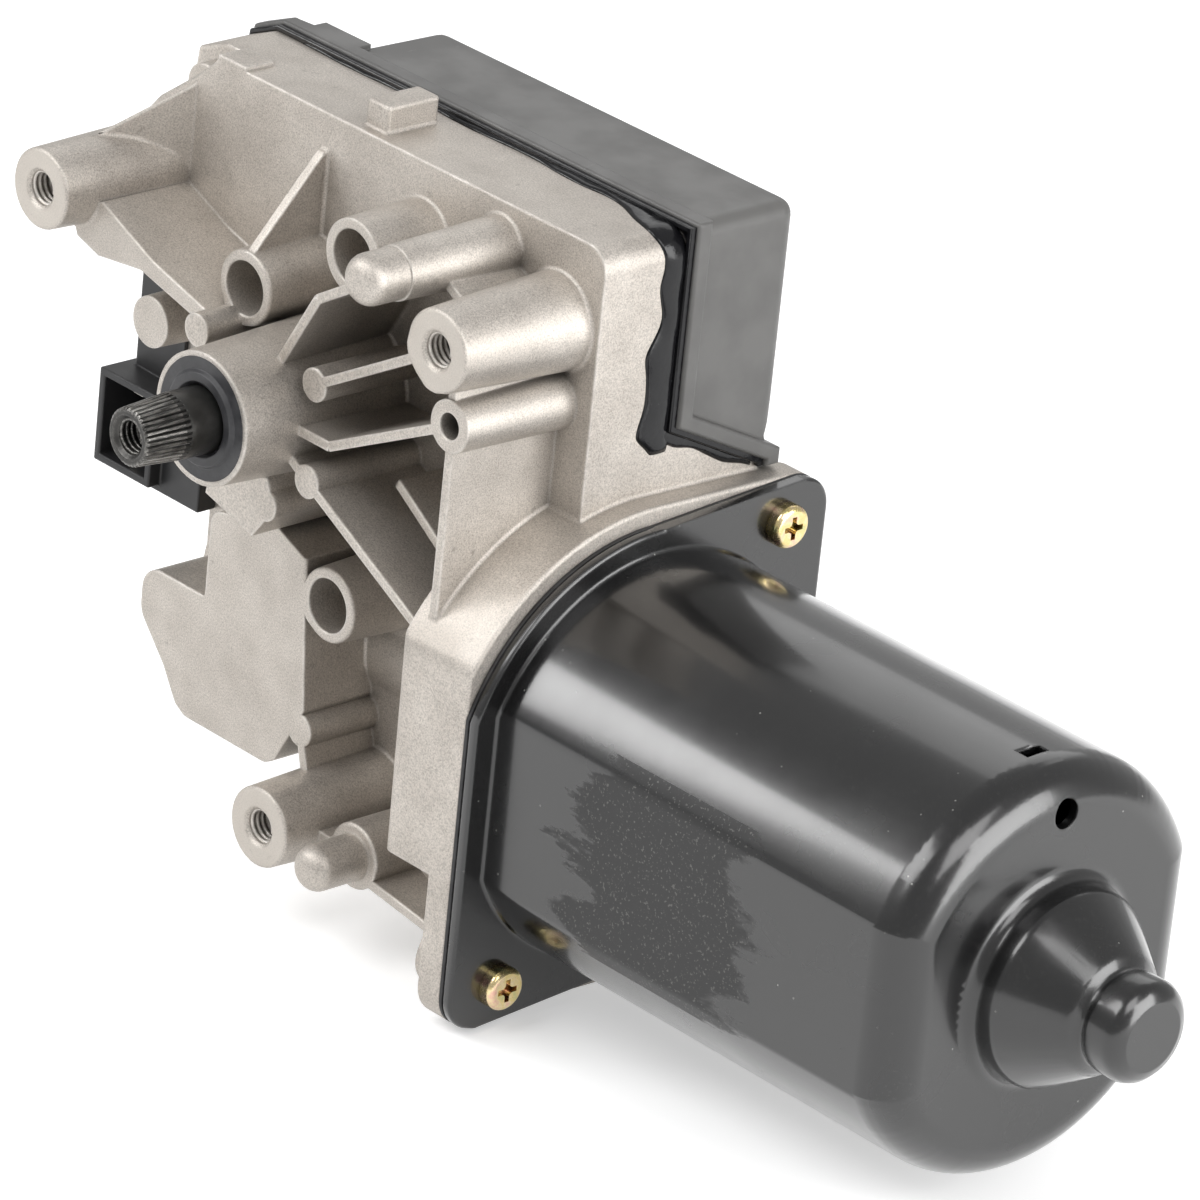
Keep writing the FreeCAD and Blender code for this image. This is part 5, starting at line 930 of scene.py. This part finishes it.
# A sealed ball bearing carries the armature behind the worm. Its rings are hardened chrome
# steel, ground all over, one pressed on the shaft and one in the casting.
bearing_steel = ground("bearing_steel", (0.62, 0.62, 0.63), 0.16, (0.08, 1.0, 1.0))
dress("bearing_inner_ring", "bearing_inner_ring_ground", "armature", bearing_steel, 0.3 * MM)
dress("bearing_outer_ring", "bearing_outer_ring_ground", "motor_body", bearing_steel, 0.3 * MM)


# A clip of blued spring steel holds the bearing's outer ring in its seat in the casting, and
# takes the armature's thrust towards the can.
dress("bearing_clip", "bearing_spring_clip", "motor_body",
      strip_metal("blued_clip_steel", (0.14, 0.15, 0.2), 0.3, (1.0, 0.3, 0.3)), 0.1 * MM)


# The worm's free end runs in a small sintered bush at the far end of the tunnel. Its bronze is
# greyer than the shaft's bushes, with oil in its pores.
dress("worm_end_bush", "sintered_worm_end_bush", "motor_body",
      sintered("grey_bronze", (0.4, 0.28, 0.17)), 0.25 * MM)


# A hardened steel button in the tunnel's end takes the worm's thrust. The shaft's tip has
# polished it.
dress("thrust_button", "polished_thrust_button", "motor_body",
      ground("polished_button_steel", (0.66, 0.66, 0.66), 0.12, (0.1, 1.0, 1.0), 0.1),
      0.2 * MM, 30, 3)


# The can's rear bush is sintered bronze, held in the dome by a sprung steel plate whose teeth
# grip the wall.
dress("rear_bush", "sintered_rear_bush", "motor_body",
      sintered("dark_bronze", (0.38, 0.25, 0.14)), 0.6 * MM, 30, 3)
dress("bush_retainer", "rear_bush_retainer", "motor_body",
      strip_metal("retainer_steel", (0.4, 0.4, 0.4), 0.32, (1.0, 0.3, 1.0)), 0.1 * MM)


# A pad of glass-filled nylon sits in the dome's tip. It takes the armature's thrust from
# behind and keeps it quiet.
dress("thrust_pad", "nylon_thrust_pad", "motor_body",
      moulded("pad_nylon", (0.48, 0.44, 0.34), 0.4, 0.3 * MM, 0.1), 0.3 * MM)


# The can is deep-drawn steel under gloss black paint: round with two pressed flats, and a dome
# at the end for the rear bush. Dust lies on it, and the near flat is smudged by handling.
CAN_FLAT_Y = 5.7


def can_paint(name):
    f = Finish(name)
    flow = f.noise(15 * MM, 3.0, 0.5)
    peel = f.noise(1.5 * MM, 2.0, 0.5)
    flecks = f.add("ShaderNodeTexVoronoi", Vector=f.place, Scale=1 / (4.5 * MM))
    thin_out = f.ramp(f.noise(23 * MM, 2.0), (0.45, 0.0), (0.6, 1.0))
    fleck = f.sums("MULTIPLY", thin_out,
                   f.ramp(flecks.outputs["Distance"], (0.03, 0.7), (0.05, 0.0)))
    on_flat = f.band(1, (CAN_FLAT_Y - 0.3) * MM, (CAN_FLAT_Y + 2.2) * MM)
    streaks = f.noise(9 * MM, 5.0, 0.7, (0.25, 1.0, 1.0))
    reach = f.sums("ADD", f.sums("MULTIPLY", f.along(0), 1 / (60 * MM)), streaks)
    patch = f.ramp(f.sums("MULTIPLY", f.sums("SUBTRACT", reach, 1.6), 0.5), (0.26, 0.0),
                   (0.28, 1.0), (0.59, 1.0), (0.62, 0.0))
    smudge = f.sums("MULTIPLY", on_flat, patch)
    dust = f.ramp(f.noise(0.55 * MM, 2.0, 0.5), (0.62, 0.0), (0.68, 1.0))
    dust = f.sums("MULTIPLY", dust, f.sums("MAXIMUM", smudge, 0.12))
    scuff = f.ramp(f.noise(1.6 * MM, 6.0, 0.75, (0.3, 1.0, 1.0)), (0.7, 0.0), (0.73, 0.35))
    colour = f.blend(fleck, (0.005, 0.005, 0.0052), (0.3, 0.3, 0.28))
    colour = f.blend(f.sums("MULTIPLY", dust, 0.7), colour, (0.12, 0.118, 0.11))
    colour = f.blend(f.sums("MULTIPLY", scuff, 0.6), colour, (0.07, 0.068, 0.064))
    dull = f.sums("MAXIMUM", f.sums("MULTIPLY", smudge, 0.8), scuff)
    gloss = f.ramp(flow, (0.3, 0.2), (0.7, 0.29))
    rough = f.blend(dull, gloss, 0.5)
    return f.set(Base_Color=colour, Roughness=rough, IOR=1.5,
                 Coat_Weight=f.blend(dull, 0.8, 0.0), Coat_Roughness=0.13,
                 Normal=f.bump(peel, 0.012 * MM, 0.5, f.bump(flow, 0.14 * MM, 0.3,
                                                             f.rounded(0.8 * MM))))


dress("motor_can", "drawn_steel_motor_can", "motor_body", can_paint("gloss_black_paint"),
      0.6 * MM, 28, 3)


# A thin black rubber gasket lies between the can's flange and the casting, and its cut edge
# shows as a dull dark line.
dress("can_gasket", "rubber_can_gasket", "motor_body",
      rubber("gasket_rubber", (0.012, 0.012, 0.013), 0.6), 0.12 * MM)


# Two pan-head screws with a cross recess hold the can. They are yellow zinc plated, and the
# film shines gold, green and pink.
dress("can_screws", "can_screws_plated", "motor_body", zinc_plate("can_screw_zinc"),
      0.75 * MM, 35, 4)


# Two arc magnets of sintered ferrite are glued inside the can. They are dull dark grey, with
# chipped corners and a dusty, ground inner face.
def ferrite(name):
    f = Finish(name)
    grains = f.noise(0.3 * MM, 3.0, 0.7)
    chips = f.noise(2.2 * MM, 5.0, 0.7)
    chipped = f.sums("MULTIPLY", f.corners(0.8 * MM, False), f.ramp(chips, (0.5, 0.0), (0.55, 1.0)))
    colour = f.blend(grains, (0.05, 0.05, 0.054), (0.09, 0.09, 0.094))
    colour = f.blend(chipped, colour, (0.16, 0.16, 0.165))
    return f.set(Base_Color=colour, Metallic=0.2, Roughness=f.ramp(chips, (0.3, 0.5), (0.7, 0.68)),
                 Normal=f.bump(grains, 0.04 * MM, 0.7, f.bump(chipped, 0.2 * MM, 0.6)))


magnet_ferrite = ferrite("magnet_ferrite")
for half in ("upper", "lower"):
    dress("magnet_" + half, half + "_arc_magnet", "motor_body", magnet_ferrite, 0.5 * MM)


# The brush plate is punched from phenolic paper board, brown with a woven look, and the brass
# brush holders are folded over and staked into its slots.
def phenolic(name):
    f = Finish(name)
    weave = f.add("ShaderNodeTexWave", {"bands_direction": "DIAGONAL"}, Vector=f.place,
                  Scale=420.0, Distortion=2.0, Detail=2.0).outputs["Fac"]
    soak = f.noise(9 * MM, 5.0, 0.6)
    colour = f.blend(soak, (0.13, 0.06, 0.022), (0.24, 0.125, 0.05))
    colour = f.blend(f.sums("MULTIPLY", weave, 0.3), colour, (0.34, 0.2, 0.09))
    return f.set(Base_Color=colour, Roughness=f.ramp(soak, (0.3, 0.36), (0.7, 0.5)),
                 Normal=f.bump(weave, 0.02 * MM, 0.5))


dress("brush_plate", "phenolic_brush_plate", "motor_body", phenolic("phenolic_board"), 0.2 * MM)


# Each of the three carbon brushes slides in a folded brass holder. Black dust from the brush
# lies on it in patches, and painted shade darkens the corners of its holder.
def dusty_brass_with_painted_shade(name):
    f = Finish(name)
    rolled = f.noise(0.3 * MM, 3.0, 0.6, (0.08, 1.0, 1.0))
    soot = f.noise(3.5 * MM, 4.0, 0.65)
    colour = f.blend(rolled, (0.5, 0.36, 0.13), (0.68, 0.52, 0.24))
    colour = f.blend(f.ramp(soot, (0.5, 0.0), (0.7, 0.75)), colour, (0.05, 0.045, 0.04))
    # Painted shade: the inner corners of the holder are darkened nearly black.
    colour = f.blend(f.corners(1.4 * MM, True), colour, (0.03, 0.027, 0.025))
    return f.set(Base_Color=colour, Metallic=0.9, Roughness=f.ramp(soot, (0.3, 0.22), (0.7, 0.5)),
                 Normal=f.bump(rolled, 0.01 * MM, 0.6))


# The brush itself is pressed from copper and graphite powder. It is dark grey with copper
# glints, and worn to the commutator's curve at its tip.
def copper_graphite(name):
    f = Finish(name)
    powder = f.noise(0.2 * MM, 2.0, 0.7)
    rub = f.noise(1.2 * MM, 4.0, 0.6, (1.0, 1.0, 0.1))
    colour = f.blend(f.ramp(powder, (0.6, 0.0), (0.68, 0.8)), (0.028, 0.027, 0.028),
                     (0.32, 0.15, 0.08))
    return f.set(Base_Color=colour, Metallic=0.5, Roughness=f.ramp(rub, (0.3, 0.3), (0.7, 0.5)),
                 Normal=f.bump(powder, 0.02 * MM, 0.5))


holder_brass = dusty_brass_with_painted_shade("holder_brass")
brush_carbon = copper_graphite("brush_carbon")
for place in ("common", "low", "high"):
    dress("brush_holder_" + place, "folded_holder_" + place, "motor_body", holder_brass, 0.15 * MM)
    dress("brush_" + place, "pressed_brush_" + place, "brush_body_" + place, brush_carbon,
          0.25 * MM)


# A coil spring of blued wire pushes each brush onto the commutator. Its outer end stands in the
# holder.
spring_wire = strip_metal("blued_spring_wire", (0.2, 0.2, 0.23), 0.24, (1.0, 1.0, 1.0))
for place, outwards in (("common", Vector((0, 0, 1))), ("low", Vector((0, 0, -1))),
                        ("high", Vector((0, 1, 0)))):
    spring = dress("brush_spring_" + place, "coil_spring_" + place, "motor_body", spring_wire,
                   0.05 * MM)
    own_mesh(spring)


# A plain pale floor under the part, white to the camera, that keeps the part's shadow.
FLOOR_DROP = 0.3 * MM
FLOOR_REACH = 4.0
floor_z = cad_low.z - FLOOR_DROP
floor_mesh = bpy.data.meshes.new("floor")
floor_mesh.from_pydata([(x * FLOOR_REACH, y * FLOOR_REACH, floor_z)
                        for x, y in ((-1, -1), (1, -1), (1, 1), (-1, 1))],
                       [], [(0, 1, 2, 3)])
floor = linked("floor", floor_mesh)
paper = Finish("pale_paper")
fibre = paper.noise(4 * MM, 3.0)
paper.set(Base_Color=paper.blend(fibre, 0.79, 0.81), Roughness=0.9, Emission_Color=1.0)
seen = paper.add("ShaderNodeLightPath")
paper.feed(paper.shader.inputs["Emission Strength"], paper.sums(
    "ADD", paper.sums("MULTIPLY", seen.outputs["Is Camera Ray"], 0.45),
    paper.sums("MULTIPLY", seen.outputs["Is Glossy Ray"], 0.4)))
floor_mesh.materials.append(paper.material)


# The air round the part is white to the camera and a soft even light to everything else, and
# glossy paint mirrors it a little brighter.
world = bpy.data.worlds.new("studio")
bpy.context.scene.world = world
world.use_nodes = True
air = NodeTree(world.node_tree)
path = air.add("ShaderNodeLightPath")
shown = air.sums("ADD", air.sums("MULTIPLY", path.outputs["Is Glossy Ray"], 0.15),
                 path.outputs["Is Camera Ray"])
amount = air.add("ShaderNodeMapRange", Value=shown, To_Min=0.41, To_Max=1.0)
background = world.node_tree.nodes["Background"]
air.feed(background.inputs["Color"], 1.0)
air.feed(background.inputs["Strength"], amount.outputs["Result"])


# Large soft boxes stand round the table: one high in front, one at the left, two at the right
# and a weak one behind, so that every face has its own soft gradient.
PART_MIDDLE = Vector((0.06, 0.03, -0.02))


def soft_box(name, place, size, power):
    """A studio lamp at a place, turned to the middle of the part."""
    light = bpy.data.lights.new(name, "AREA")
    light.shape = "RECTANGLE"
    light.size, light.size_y = size
    light.energy = power
    lamp = linked(name, light)
    lamp.location = place
    to_middle = PART_MIDDLE - Vector(place)
    lamp.rotation_euler = to_middle.to_track_quat("-Z", "Y").to_euler()


soft_box("key_lamp", (-0.2, -0.9, 1.1), (0.9, 0.6), 9)
soft_box("left_lamp", (-1.0, -0.8, 0.7), (0.5, 0.5), 6.5)
soft_box("right_lamp", (1.2, 0.4, 0.3), (0.8, 0.8), 12.5)
soft_box("upper_right_lamp", (1.1, -0.2, 1.0), (0.7, 0.7), 6)
soft_box("back_lamp", (-0.6, 0.9, 0.8), (1.0, 0.7), 2)


# The camera stands where the photograph was taken from, with a long lens.
camera_data = bpy.data.cameras.new("camera")
camera_data.sensor_width = 36.0
camera_data.lens = 255.88
camera_data.shift_x = -0.00067
camera_data.shift_y = 0.00133
camera_data.clip_start = 0.05
camera_data.clip_end = 20
camera = linked("camera", camera_data)
camera.location = (1.0907, -0.9775, 0.6224)
camera.rotation_euler = [math.radians(turn) for turn in (65.8099, -5.4190, 47.7685)]
bpy.context.scene.camera = camera
bpy.context.scene.view_settings.view_transform = "Standard"
